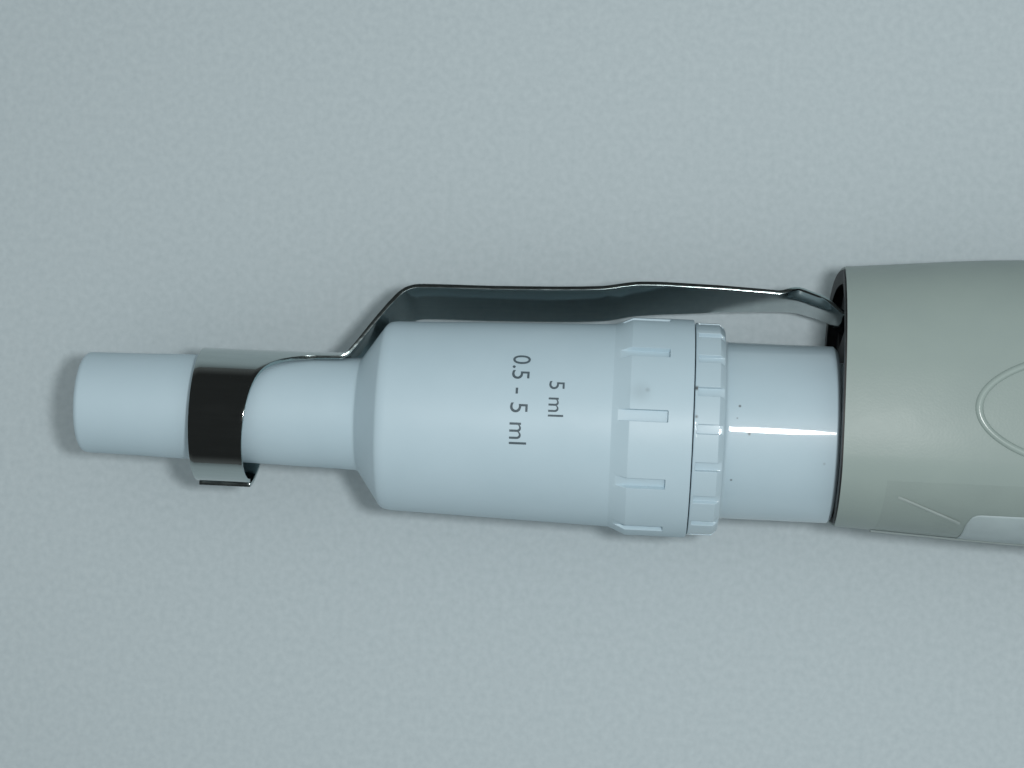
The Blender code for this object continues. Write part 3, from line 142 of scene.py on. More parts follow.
def emboss(tree, shader, height, depth):
    """Give a surface relief, its depth in mm."""
    relief = add_node(tree, "Bump", {"Height": height, "Distance": depth * MM})
    tree.links.new(relief.outputs["Normal"], shader.inputs["Normal"])


lens = bpy.data.cameras.new("lens")
lens.sensor_width = SENSOR_WIDTH
lens.lens = FOCAL_LENGTH
lens.clip_start, lens.clip_end = 0.01, 10.0
camera = stand("camera", lens)
camera.location = CAMERA_PLACE
camera.rotation_euler = CAMERA_TURN
bpy.context.scene.camera = camera

flash = bpy.data.lights.new("flash", "AREA")
flash.shape = "DISK"
flash.size = FLASH_SIZE
flash.energy = FLASH_POWER
flash_head = stand("flash", flash)
flash_head.location = FLASH_PLACE
flash_head.rotation_euler = (Vector(FLASH_PLACE) - Vector(FLASH_AIM)).to_track_quat("Z", "Y").to_euler()

room = bpy.data.worlds.new("room")
bpy.context.scene.world = room
room.use_nodes = True
sky = room.node_tree
height = add_node(sky, "SeparateXYZ", {
    "Vector": add_node(sky, "TexCoord").outputs["Generated"]}).outputs["Z"]
lit, mirrored = (add_node(sky, "MapRange", {
    "Value": height, "From Max": reach, "To Min": levels[0], "To Max": levels[1]},
    interpolation_type="SMOOTHSTEP").outputs["Result"]
    for levels, reach in ((ROOM_LEVELS, 1.0), (ROOM_IN_REFLECTIONS, CEILING_START)))
room_level = add_node(sky, "Mix", {
    "Factor": add_node(sky, "LightPath").outputs["Is Glossy Ray"], 2: lit, 3: mirrored})
sky.links.new(room_level.outputs[0], sky.nodes["Background"].inputs["Strength"])
sky.nodes["Background"].inputs["Color"].default_value = ROOM_TINT

bpy.context.scene.view_settings.view_transform = "Standard"

bench = fresh("bench", bpy.ops.mesh.primitive_plane_add, size=6.0)
# Absorbent bench liner, matt, with a faint fleck 1 mm across
bench_liner, tree, shader, place = new_finish("bench_liner")
tint(tree, shader, noise(tree, place, 1.0), "A8B6BB", "BBC8CC")
shader.inputs["Roughness"].default_value = 0.85
bench.data.materials.append(bench_liner)


# Lower barrel: nozzle, cone, barrel and slotted collar in one injection moulding of blue-white
# polypropylene. The collar's ten slots give the fingers grip when it is screwed off to clean.
AXIS = Vector((-142.45 * MM, 5.55 * MM, 17.5 * MM))      # the nozzle's end, on the liquid end's axis
CONE_START = 40.0 * MM
BARREL_START = 43.4 * MM
BARREL_RADIUS = 13.45 * MM
BARREL_BACK_RADIUS = 14.35 * MM
COLLAR_START = 75.9 * MM
COLLAR_END = 86.86 * MM
COLLAR_RADIUS = 15.4 * MM
COLLAR_SLOT_FLOOR = 14.65 * MM
COLLAR_SLOT_START = COLLAR_START + 0.8 * MM
COLLAR_SLOT_END = COLLAR_START + 7.6 * MM
COLLAR_SLOTS = 10
COLLAR_SLOT_TURN = 6.8               # degrees from +Z towards +Y, at a slot's middle
COLLAR_SLOT_HALF = 3.0               # degrees to each side of it
SOCKET_RADIUS = 12.3 * MM
CHAMBER_RADIUS = 9.4 * MM
BORE_RADIUS = 1.8 * MM


def settle(piece, place, turn=(0, 0, 0), order="XYZ"):
    """Turn a piece and put it in its place, both in its mesh."""
    piece.rotation_mode = order
    piece.location = place
    piece.rotation_euler = turn
    only(piece)
    bpy.ops.object.transform_apply(location=True, rotation=True, scale=True)


def weld(threshold=1e-6):
    """In edit mode, merge the corners that meet, turn every face outwards and leave the mode."""
    bpy.ops.mesh.select_all(action="SELECT")
    bpy.ops.mesh.remove_doubles(threshold=threshold)
    bpy.ops.mesh.normals_make_consistent(inside=False)
    mode("OBJECT")


def turned(name, stations, columns, first_turn=0.0):
    """Turn a closed outline of (x, radius) stations about the X axis.

    Each station is one extruded loop. A column starts first_turn from +Z towards +Y.
    """
    piece = fresh(name, bpy.ops.mesh.primitive_circle_add, vertices=columns, radius=stations[0][1])
    settle(piece, (stations[0][0], 0, 0), (math.pi / 2 - first_turn, math.pi / 2, 0), "ZYX")
    mode("EDIT")
    bpy.ops.mesh.select_all(action="SELECT")
    for (x, r), (next_x, next_r) in zip(stations, stations[1:] + stations[:1]):
        bpy.ops.mesh.extrude_region_move(TRANSFORM_OT_translate={"value": (next_x - x, 0, 0)})
        bpy.ops.transform.resize(value=(1, next_r / r, next_r / r), center_override=(next_x, 0, 0))
    weld()
    return piece


def pick(piece, chosen):
    """Select the faces for which a test on their centre is true, and go into edit mode."""
    only(piece)
    mode("EDIT")
    bpy.ops.mesh.select_mode(type="FACE")
    bpy.ops.mesh.select_all(action="DESELECT")
    mode("OBJECT")
    for face in piece.data.polygons:
        face.select = chosen(face.center)
    mode("EDIT")


def cut_slots(piece, count, first_turn, half_width, start, end, crown, floor):
    """Sink straight slots into a turned rim, from crown down to floor radius."""
    def in_slot(centre):
        turn = math.degrees(math.atan2(centre.y, centre.z)) - first_turn
        aside = (turn + 180 / count) % (360 / count) - 180 / count
        return abs(aside) < half_width and start < centre.x < end and centre.yz.length > floor
    pick(piece, in_slot)
    bpy.ops.mesh.extrude_region_move(TRANSFORM_OT_translate={"value": (0, 0, 0)})
    mode("OBJECT")
    for corner in piece.data.vertices:
        corner.select = corner.select and corner.co.yz.length > crown - 1e-5
    for part in (*piece.data.edges, *piece.data.polygons):
        part.select = False
    mode("EDIT")
    bpy.ops.mesh.select_mode(type="VERT")
    bpy.ops.transform.resize(value=(1, floor / crown, floor / crown), center_override=(0, 0, 0))
    weld()


def apply_modifier(piece, kind, **settings):
    """Add a modifier with its settings and apply it."""
    only(piece)
    step = piece.modifiers.new("step", kind)
    for name, value in settings.items():
        setattr(step, name, value)
    bpy.ops.object.modifier_apply(modifier="step")


def ease_edges(piece, width, segments=2, angle=18.0):
    """Round every edge that turns by more than an angle. The normals follow the large faces."""
    apply_modifier(piece, "BEVEL", width=width, segments=segments, limit_method="ANGLE",
                   angle_limit=math.radians(angle), miter_outer="MITER_ARC")
    bpy.ops.object.shade_smooth_by_angle(angle=math.radians(32))
    apply_modifier(piece, "WEIGHTED_NORMAL", keep_sharp=True)


def hand_over(piece, finish, body, node=None):
    """Give a piece its finish and its body, and hide the CAD piece that it stands for."""
    piece.data.materials.append(finish)
    if body:
        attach(piece, body)
    if node:
        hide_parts(node)


def moulded(name, light, deep, roughness, grain, depth, cloud=16.0):
    """Moulded plastic: grain and cloud sizes in mm, with the colour clouded between two tones."""
    made, tree, shader, place = new_finish(name)
    clouds = noise(tree, place, cloud, 5.0, 0.6)
    tint(tree, shader, spread(tree, clouds, 0.0, 1.0, *NOISE_RANGE), deep, light)
    sheen = spread(tree, clouds, roughness + 0.05, roughness - 0.03, *NOISE_RANGE)
    tree.links.new(sheen, shader.inputs["Roughness"])
    emboss(tree, shader, noise(tree, place, grain), depth)
    return made


lower_barrel = turned("lower_barrel_fine", [
    (0.0, BORE_RADIUS + 0.6 * MM), (0.0, 6.3 * MM), (0.1 * MM, 6.66 * MM), (0.3 * MM, 6.96 * MM),
    (0.58 * MM, 7.14 * MM), (0.95 * MM, 7.21 * MM), (10.2 * MM, 7.36 * MM), (11.0 * MM, 7.42 * MM),
    (37.6 * MM, 7.93 * MM), (38.4 * MM, 8.0 * MM), (39.6 * MM, 8.0 * MM), (CONE_START, 8.12 * MM),
    (CONE_START + 0.25 * MM, 8.4 * MM), (BARREL_START - 0.1 * MM, 12.75 * MM),
    (BARREL_START + 0.15 * MM, 13.05 * MM), (BARREL_START + 0.5 * MM, 13.27 * MM),
    (BARREL_START + 1.0 * MM, 13.4 * MM), (BARREL_START + 1.6 * MM, BARREL_RADIUS + 0.02 * MM),
    (COLLAR_START, BARREL_BACK_RADIUS), (COLLAR_SLOT_START, COLLAR_SLOT_FLOOR),
    (COLLAR_START + 2.4 * MM, COLLAR_RADIUS), (COLLAR_SLOT_END, COLLAR_RADIUS),
    (COLLAR_END - 0.1 * MM, COLLAR_RADIUS), (COLLAR_END, COLLAR_RADIUS - 0.1 * MM),
    (COLLAR_END, SOCKET_RADIUS), (76.0 * MM, SOCKET_RADIUS), (76.0 * MM, CHAMBER_RADIUS),
    (46.0 * MM, CHAMBER_RADIUS), (42.9 * MM, BORE_RADIUS), (0.6 * MM, BORE_RADIUS),
], 120, math.radians(COLLAR_SLOT_TURN))
cut_slots(lower_barrel, COLLAR_SLOTS, COLLAR_SLOT_TURN, COLLAR_SLOT_HALF, COLLAR_SLOT_START,
          COLLAR_SLOT_END, COLLAR_RADIUS, COLLAR_SLOT_FLOOR)
ease_edges(lower_barrel, 0.1 * MM)
settle(lower_barrel, AXIS)
# Injection-moulded polypropylene, satin: no sharp reflection, colour even to the eye
satin_polypropylene = moulded("satin_polypropylene", "B5CBD5", "AFC6D0", 0.44, 0.35, 0.004)


def soil(finish, radius, marks):
    """Small dark marks on a round piece, each by its place along, its turn, size and strength."""
    tree = finish.node_tree
    base = tree.nodes["Principled BSDF"].inputs["Base Color"]
    place = add_node(tree, "TexCoord").outputs["Object"]
    for along, turn, size, strength in marks:
        turn = math.radians(turn)
        spot = AXIS + Vector((along * MM, radius * math.sin(turn), radius * math.cos(turn)))
        away = add_node(tree, "VectorMath", {0: place, 1: spot}, operation="DISTANCE")
        share = add_node(tree, "MapRange", {
            "Value": away.outputs["Value"], "From Max": size * MM, "To Min": strength,
            "To Max": 0.0}, interpolation_type="SMOOTHSTEP")
        mark = add_node(tree, "Mix", {
            "Factor": share.outputs["Result"], 6: base.links[0].from_socket,
            7: linear("4A4D4C")}, data_type="RGBA")
        tree.links.new(mark.outputs[2], base)


soil(satin_polypropylene, COLLAR_RADIUS, ((79.6, 18.7, 2.2, 0.14), (80.6, 20.0, 0.5, 0.25)))
hand_over(lower_barrel, satin_polypropylene, "handle", "lower_barrel")


# Volume marking, pad-printed in dark grey on the barrel and read with the nozzle pointing down.
# Each line is bent round the barrel, so the print lies on the surface.
MARKING_TURN = math.radians(14.4)
PRINT_LIFT = 0.03 * MM
LETTER_SIZE = 4 * MM                 # before a line is brought to its width
LETTER_STRIPS = 24


def printed(name, words, spot, width):
    """Flat lettering as a mesh, centred, its baseline along X, cut into narrow strips."""
    piece = fresh(name, bpy.ops.object.text_add)
    piece.data.body = words
    piece.data.align_x = "CENTER"
    piece.data.size = LETTER_SIZE
    bpy.ops.object.convert(target="MESH")
    piece = bpy.context.object
    span = max(c.co.x for c in piece.data.vertices) - min(c.co.x for c in piece.data.vertices)
    rise = max(c.co.y for c in piece.data.vertices) + min(c.co.y for c in piece.data.vertices)
    piece.scale = (width / span, width / span, 1)
    settle(piece, (0, -rise / 2 * width / span, 0))
    mode("EDIT")
    for step in range(-LETTER_STRIPS // 2, LETTER_STRIPS // 2 + 1):
        bpy.ops.mesh.select_all(action="SELECT")
        bpy.ops.mesh.bisect(plane_co=(step * width / LETTER_STRIPS, 0, 0), plane_no=(1, 0, 0))
    mode("OBJECT")
    for corner in piece.data.vertices:
        corner.co = spot(corner.co.x, corner.co.y)
    return piece


def on_barrel(along):
    """Where a point of the print lies: along the barrel, and round it with the top line first."""
    def spot(across, up):
        x = along + up
        share = (x - BARREL_START) / (COLLAR_START - BARREL_START)
        radius = BARREL_RADIUS + (BARREL_BACK_RADIUS - BARREL_RADIUS) * share + PRINT_LIFT
        turn = MARKING_TURN - across / radius
        return AXIS + Vector((x, radius * math.sin(turn), radius * math.cos(turn)))
    return spot


# Pad-printing ink, matt
marking_ink = moulded("marking_ink", "51626A", "47575F", 0.6, 0.2, 0.002, 3.0)
for name, words, along, width in (("volume_mark", "5 ml", 68.3 * MM, 5.0 * MM),
                                  ("range_mark", "0.5 - 5 ml", 63.3 * MM, 13.0 * MM)):
    mark = printed(name, words, on_barrel(along), width)
    hand_over(mark, marking_ink, "handle")


# Seals: the turned PTFE piston runs through a PTFE scraper and a nitrile O-ring, held in the
# barrel's pocket by a stainless washer. They stay as the CAD has them.
def dress(finish, *nodes):
    """Give CAD pieces that are kept as they are a better finish."""
    for node in nodes:
        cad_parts[node].material_slots[0].material = finish


# Virgin PTFE, turned: fine rings 0.4 mm apart and a soft, waxy gloss
turned_ptfe, tree, shader, place = new_finish("turned_ptfe")
rings = add_node(tree, "TexWave", {"Vector": place, "Scale": 800.0}, bands_direction="X")
emboss(tree, shader, rings.outputs["Fac"], 0.01)
tree.links.new(spread(tree, rings.outputs["Fac"], 0.3, 0.42), shader.inputs["Roughness"])
shader.inputs["Base Color"].default_value = linear("ECECE8")
dress(turned_ptfe, "piston", "piston_seal")

# Nitrile rubber, moulded: near black, dull, with a little bloom
nitrile = moulded("nitrile_rubber", "1E1E1E", "151515", 0.65, 0.25, 0.006, 4.0)
dress(nitrile, "piston_o_ring")


# Threaded coupling: slotted nut ring, neck and both spigots in one moulding of glossier
# polypropylene. It screws into the barrel's socket and into the handle's nose.
RING_START = 87.0 * MM
RING_END = 91.2 * MM
RING_RADIUS = 15.0 * MM
RING_SLOT_FLOOR = 14.4 * MM
RING_SLOTS = 18
RING_SLOT_TURN, RING_SLOT_HALF = 1.1, 2.5
SPIGOT_RADIUS = 10.2 * MM
THREAD_RADIUS = 12.0 * MM
NECK_RADIUS = 12.45 * MM
NECK_END = 106.95 * MM
SPIGOT_END = 117.5 * MM

upper_coupling = turned("upper_coupling_fine", [
    (80.5 * MM, CHAMBER_RADIUS), (80.5 * MM, THREAD_RADIUS), (RING_START, THREAD_RADIUS),
    (RING_START, RING_RADIUS - 0.1 * MM), (RING_START + 0.1 * MM, RING_RADIUS),
    (RING_START + 0.4 * MM, RING_RADIUS), (RING_END - 0.8 * MM, RING_RADIUS),
    (RING_END - 0.2 * MM, RING_SLOT_FLOOR), (RING_END, RING_SLOT_FLOOR - 0.2 * MM),
    (RING_END, NECK_RADIUS + 0.6 * MM), (RING_END + 0.12 * MM, NECK_RADIUS + 0.32 * MM),
    (RING_END + 0.35 * MM, NECK_RADIUS + 0.1 * MM), (RING_END + 0.75 * MM, NECK_RADIUS),
    (NECK_END - 0.5 * MM, NECK_RADIUS), (NECK_END, NECK_RADIUS - 0.45 * MM),
    (NECK_END, SPIGOT_RADIUS), (SPIGOT_END, SPIGOT_RADIUS), (SPIGOT_END, CHAMBER_RADIUS),
], 144, math.radians(RING_SLOT_TURN))
cut_slots(upper_coupling, RING_SLOTS, RING_SLOT_TURN, RING_SLOT_HALF, RING_START + 0.4 * MM,
          RING_END - 0.2 * MM, RING_RADIUS, RING_SLOT_FLOOR)
ease_edges(upper_coupling, 0.15 * MM, 3)
settle(upper_coupling, AXIS)
# The same polypropylene from a polished mould: a tight highlight, a few dirt specks
glossy_polypropylene = moulded("glossy_polypropylene", "B4CAD4", "AEC5CF", 0.46, 1.2, 0.003)
glossy_shader = glossy_polypropylene.node_tree.nodes["Principled BSDF"]
glossy_shader.inputs["Coat Weight"].default_value = 0.7
glossy_shader.inputs["Coat Roughness"].default_value = 0.05
soil(glossy_polypropylene, NECK_RADIUS, (
    (93.2, 16.8, 0.28, 1.0), (94.6, -0.6, 0.32, 0.8), (92.5, -31.7, 0.26, 0.9), (92.9, 9.0, 0.2, 0.6),
    (104.9, -17.5, 0.3, 0.3)))
soil(glossy_polypropylene, RING_RADIUS, ((87.2, 22.7, 0.5, 1.0), (87.3, 7.5, 0.35, 0.7)))
hand_over(upper_coupling, glossy_polypropylene, "handle", "upper_coupling")


# Nose plate: glass-filled nylon plate inside the handle's lower end. Its socket takes the
# coupling's spigot, and the ejector arm passes through its slot.
# Glass-filled nylon, moulded: black, slightly rough from the fibres
black_nylon = moulded("glass_filled_nylon", "232526", "17191A", 0.55, 0.18, 0.01, 6.0)


def refined(node, body, finish, width, segments=3, angle=30.0):
    """A copy of a CAD piece with its triangles merged and its edges rounded.

    Without a width the edges stay as they are, and without a body the copy is left unattached.
    """
    piece = stand(node + "_fine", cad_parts[node].data.copy())
    only(piece)
    bpy.ops.mesh.customdata_custom_splitnormals_clear()
    mode("EDIT")
    bpy.ops.mesh.select_all(action="SELECT")
    bpy.ops.mesh.remove_doubles(threshold=2e-6)
    bpy.ops.mesh.dissolve_limited(angle_limit=math.radians(1))
    mode("OBJECT")
    if width:
        ease_edges(piece, width, segments, angle)
    piece.data.materials.clear()
    hand_over(piece, finish, body, node)
    return piece


nose_plate = refined("nose_plate", "handle", black_nylon, 0.15 * MM)


# Drive: a linear stepper screws the piston rod up and down. A guide block on two ground rods
# keeps the rod from turning, and the motor hangs on a plated bracket.
def metal(name, light, deep, roughness, grain, direction):
    """Bare or plated metal with marks drawn out along one direction; grain in mm."""
    made, tree, shader, place = new_finish(name)
    stretch = add_node(tree, "Mapping", {"Vector": place, "Scale": direction})
    marks = noise(tree, stretch.outputs["Vector"], grain, 4.0)
    tint(tree, shader, marks, deep, light)
    polish = spread(tree, marks, roughness * 0.8, roughness * 1.3, *NOISE_RANGE)
    tree.links.new(polish, shader.inputs["Roughness"])
    shader.inputs["Metallic"].default_value = 1.0
    return made


# Ground stainless rods, washer and pin: grinding marks across the handle's length, 0.3 mm apart
ground_stainless = metal("ground_stainless", "CFCFCB", "B4B5B2", 0.22, 0.3, (1, 0.1, 0.1))
# Bright zinc plating: pale, faintly blue and cloudy
zinc_plating = metal("zinc_plating", "C2C6C9", "A6ABB0", 0.34, 1.5, (1, 1, 1))
# Sintered bronze: open pores and oil, so dull and dark gold
sintered_bronze = metal("sintered_bronze", "B08A52", "7F6138", 0.5, 0.25, (1, 1, 1))
dress(ground_stainless, "seal_retainer", "piston_rod", "guide_rod_1", "guide_rod_2", "trigger_pin")
dress(zinc_plating, "lead_screw", "motor_plate", "motor_can", "motor_end_bell", "motor_screw_1",
      "motor_screw_2", "battery_contact_1", "battery_contact_2", "arm_screw_1", "arm_screw_2",
      "joystick_gimbal")
dress(sintered_bronze, "motor_bush_1", "motor_bush_2")
dress(black_nylon, "guide_block", "rotor_nut", "trigger_switch", "joystick_base", "ejector_rod")


# Electronics: one glass-epoxy board along the left shell carries the cell between two plated
# spring contacts. A second small board under the head's face carries the display and keys.
# Solder mask over glass epoxy: glossy green, the copper tracks 1.6 mm apart showing through
solder_mask, tree, shader, place = new_finish("solder_mask")
tracks = add_node(tree, "TexBrick", {
    "Vector": place, "Scale": 160.0, "Color1": linear("0F5A2C"), "Color2": linear("125F30"),
    "Mortar": linear("2C8A4C"), "Mortar Size": 0.03}, offset=0.35)
tree.links.new(tracks.outputs["Color"], shader.inputs["Base Color"])
emboss(tree, shader, tracks.outputs["Fac"], 0.03)
shader.inputs["Roughness"].default_value = 0.3
dress(solder_mask, "main_board", "key_board")
# Heat-shrunk PVC sleeve: dark blue, glossy, slightly wrinkled
shrink_sleeve = moulded("shrink_sleeve", "24446E", "1B355A", 0.3, 3.0, 0.05, 10.0)
dress(shrink_sleeve, "battery_cell")


# Ejector arm: one piece of 0.6 mm polished stainless strip, blanked, bent and rolled into a ring
# round the nozzle. It pushes the tip off, and it is screwed to the rod in the handle.
ARM_THICKNESS = 0.6 * MM
ARM_WIDTH = 11.0 * MM
ARM_TURN = math.radians(-18.0)
ARM_RING_START = 17.2 * MM
ARM_RING_END = 24.6 * MM
ARM_RING_RADIUS = 9.35 * MM
ARM_RING_OFFSET = -1.15 * MM
ARM_FLARE = 8.8 * MM                 # from the ring's edge to where the plain strip starts
WIDE_FLARE, WIDE_POWER = 0.4, 3      # a slow sweep round most of the ring
TIGHT_FLARE, TIGHT_POWER = 0.6, 13   # and a tight corner at the strip
ARM_FLARE_SPAN = math.radians(170.0)
ARM_RING_JOINT = math.radians(-162.0)
ARM_END_RUN = 0.2                    # share of the roll, at each end, that rises or dips
ARM_END_RISE, ARM_END_DIP = 0.4 * MM, 0.25 * MM
ARM_STRIP_HALF = math.radians(36.0)
ARM_BEND = 37.2 * MM
ARM_END = 134.5 * MM
# Along the strip in mm: its distance from the axis, and its lean in degrees
ARM_LINE = (
    (17.2, 8.2, 18), (31.1, 8.2, 18), (33.4, 8.2, 18), (37.0, 8.35, 18), (37.9, 8.55, 18),
    (38.9, 9.4, 19), (41.6, 12.5, 21), (43.4, 14.4, 23), (44.9, 16.2, 23), (46.0, 17.0, 23),
    (47.6, 17.4, 23), (59.1, 17.6, 23), (73.3, 18.2, 23), (79.0, 19.2, 22), (87.9, 19.6, 17.5),
    (93.1, 19.7, 14.5),
    (101.0, 19.6, 10), (103.8, 18.9, 8), (107.1, 17.7, 8), (108.4, 16.9, 12), (110.5, 16.5, 18),
    (134.5, 16.5, 18),
)
FOLD_START, FOLD_END, FOLD_RUN = 98.5 * MM, 108.0 * MM, 3.6 * MM
FOLD_ANGLE = math.radians(50.0)
FOLD_LINE = 3.3 * MM                 # from the strip's middle
FOLD_WIDTH = 1.0 * MM


def smooth_step(share):
    """From 0 to 1 with a soft start and end."""
    share = min(max(share, 0.0), 1.0)
    return share * share * (3 - 2 * share)


def smoothly(keys, x, column):
    """Catmull-Rom curve through a table's points."""
    i = max(j for j in range(len(keys) - 1) if keys[j][0] <= max(x, keys[0][0]))
    first, second = keys[i], keys[i + 1]
    before, after = keys[max(i - 1, 0)], keys[min(i + 2, len(keys) - 1)]
    span = second[0] - first[0]
    t = (x - first[0]) / span
    slope_in = (second[column] - before[column]) / (second[0] - before[0]) * span
    slope_out = (after[column] - first[column]) / (after[0] - first[0]) * span
    return ((2 * t ** 3 - 3 * t ** 2 + 1) * first[column] + (t ** 3 - 2 * t ** 2 + t) * slope_in
            + (3 * t ** 2 - 2 * t ** 3) * second[column] + (t ** 3 - t ** 2) * slope_out)


def shaped_sheet(name, rows, columns, spot):
    """A grid whose corners are laid on a surface: spot takes the row and the column, 0 to 1."""
    piece = fresh(name, bpy.ops.mesh.primitive_grid_add, x_subdivisions=rows,
                  y_subdivisions=columns, size=1.0)
    for corner in piece.data.vertices:
        corner.co = AXIS + Vector(spot(corner.co.x + 0.5, corner.co.y + 0.5))
    mode("EDIT")
    weld()
    return piece


def on_arm(x, outward, aside, lean=-ARM_TURN):
    """Point of the arm, turned from its own line to where it runs beside the barrel."""
    y = math.cos(ARM_TURN) * outward + math.sin(lean) * aside
    return x, y, math.sin(ARM_TURN) * outward + math.cos(lean) * aside


def ring_spot(row, column):
    """The rolled ring, one full turn. Its ends meet with a step at the back."""
    aside = ARM_RING_JOINT + math.tau * column
    share = min(max(0.0, (ARM_FLARE_SPAN - abs(aside)) / (ARM_FLARE_SPAN - ARM_STRIP_HALF)), 1.0)
    flare = WIDE_FLARE * share ** WIDE_POWER + TIGHT_FLARE * share ** TIGHT_POWER
    top = ARM_RING_END + ARM_FLARE * flare
    first = max(0.0, 1 - column / ARM_END_RUN)
    last = max(0.0, 1 - (1 - column) / ARM_END_RUN)
    radius = ARM_RING_RADIUS + ARM_END_RISE * first ** 2 - ARM_END_DIP * last ** 2
    return on_arm(ARM_RING_START + (top - ARM_RING_START) * row,
                  ARM_RING_OFFSET + radius * math.cos(aside), radius * math.sin(aside))


def strip_spot(row, column):
    """The strip from the ring to the rod: curved like the ring at first, flat beside the barrel."""
    start = ARM_RING_END + ARM_FLARE
    x = start + (ARM_END - start) * row
    aside = ARM_STRIP_HALF * (2 * column - 1)
    flat = min(max((x - ARM_BEND) / (BARREL_START - ARM_BEND), 0.0), 1.0)
    along = min(x / MM, ARM_LINE[-1][0] - 0.001)
    crown = smoothly(ARM_LINE, along, 1) * MM
    curved = ARM_RING_RADIUS * math.sin(aside)
    level = ARM_WIDTH / 2 * math.sin(aside) / math.sin(ARM_STRIP_HALF)
    # Near the handle the upper edge is folded outwards, which stiffens the bend
    fold = (FOLD_ANGLE * smooth_step((x - FOLD_START) / FOLD_RUN)
            * smooth_step((FOLD_END - x) / FOLD_RUN))
    past = max(0.0, level - FOLD_LINE)
    bent = min(past / FOLD_WIDTH, 1.0) * fold
    if fold and past:
        radius = FOLD_WIDTH / fold
        rest = max(0.0, past - FOLD_WIDTH)
        crown += radius * (1 - math.cos(bent)) + rest * math.sin(fold)
        level = FOLD_LINE + radius * math.sin(bent) + rest * math.cos(fold)
    return on_arm(x, crown + ARM_RING_RADIUS * (math.cos(aside) - 1) * (1 - flat),
                  curved * (1 - flat) + level * flat, math.radians(smoothly(ARM_LINE, along, 2)))


ejector_arm = shaped_sheet("ejector_arm_fine", 12, 120, ring_spot)
arm_strip = shaped_sheet("arm_strip", 240, 24, strip_spot)
only(ejector_arm, arm_strip)
bpy.ops.object.join()
mode("EDIT")
weld(5e-6)


def thicken(piece, thickness, offset, rim=0):
    """Give a sheet its thickness; offset -1 grows it inwards, 0 both ways. rim: its edge's finish."""
    apply_modifier(piece, "SOLIDIFY", thickness=thickness, offset=offset, use_even_offset=True,
                   material_offset_rim=rim)


# Polished stainless strip: mirror-like, with the faint long marks of rolling
polished_strip = metal("polished_strip", "BEC7C6", "AEB7B6", 0.08, 0.5, (0.08, 1, 1))
# The blank's sheared edge: the same steel, a little duller
sheared_edge = metal("sheared_edge", "B4C4C4", "9CACAC", 0.2, 0.4, (0.3, 1, 1))
for finish in (polished_strip, sheared_edge):
    ejector_arm.data.materials.append(finish)
thicken(ejector_arm, ARM_THICKNESS, 0.0, 1)
ease_edges(ejector_arm, 0.09 * MM, 2, 50.0)
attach(ejector_arm, "ejector")
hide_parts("ejector_arm")

# The rod's guide: moulded dark grey acetal
acetal = moulded("dark_acetal", "3B3F42", "303437", 0.45, 0.2, 0.006, 5.0)
dress(acetal, "ejector_guide")

# Plated spring on the rod: a merged copy of the CAD spring, with its place baked into its mesh
ejector_spring = refined("ejector_spring", None, zinc_plating, 0)
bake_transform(ejector_spring)


# Handle shells: two halves of matt grey ABS, screwed together from the right side. They
# share one outer form, and the left half carries a raised oval.
HANDLE_START = 107.0 * MM
HANDLE_TOP = 284.9 * MM
RIM_START = 106.9 * MM
HALF_WIDTH = 17.5 * MM
BOTTOM_NARROWING = 0.5 * MM
NARROWING_LENGTH = 18 * MM
WALL = 1.6 * MM
SEAM = 0.3 * MM
FLAT_FRONT = 7.0 * MM
FLAT_BACK = 2.0 * MM
TOP_ROUND = 9.0 * MM
FACE_X = 252.9 * MM
FACE_HEIGHT = 15.6 * MM
FACE_LEAN = math.radians(8.0)
FACE_START = 225.86 * MM
HEAD_BACK = 15.6 * MM
GRIP_SQUARENESS = 2.3
HEAD_SQUARENESS = 4.5
HEAD_BLEND_LEAD, HEAD_BLEND_LENGTH = 26 * MM, 30 * MM
TOP_SIZE = 0.45                      # share of the section that is left at the very top
QUARTER_SHARE = 0.45                 # share of the columns in each curved quarter
SIDE_CROWN = 0.8 * MM                # the side falls by this much away from its middle
CROWN_MIDDLE = 0.2 * MM
CROWN_REACH = 13.0 * MM


def face_line(x):
    """Height of the leaning head face over the axis."""
    return FACE_HEIGHT - (x - FACE_X) * math.tan(FACE_LEAN)


PROFILE = (
    (HANDLE_START, 23.7 * MM, 12.75 * MM), (HANDLE_START + 25 * MM, 25.6 * MM, 14.0 * MM),
    (HANDLE_START + 60 * MM, 25.9 * MM, 15.0 * MM), (HANDLE_START + 92 * MM, 25.0 * MM, 15.2 * MM),
    (HANDLE_START + 106 * MM, 22.6 * MM, 15.3 * MM), (FACE_START, face_line(FACE_START), HEAD_BACK),
    (FACE_X, face_line(FACE_X), HEAD_BACK), (HANDLE_TOP, face_line(HANDLE_TOP), HEAD_BACK),
)


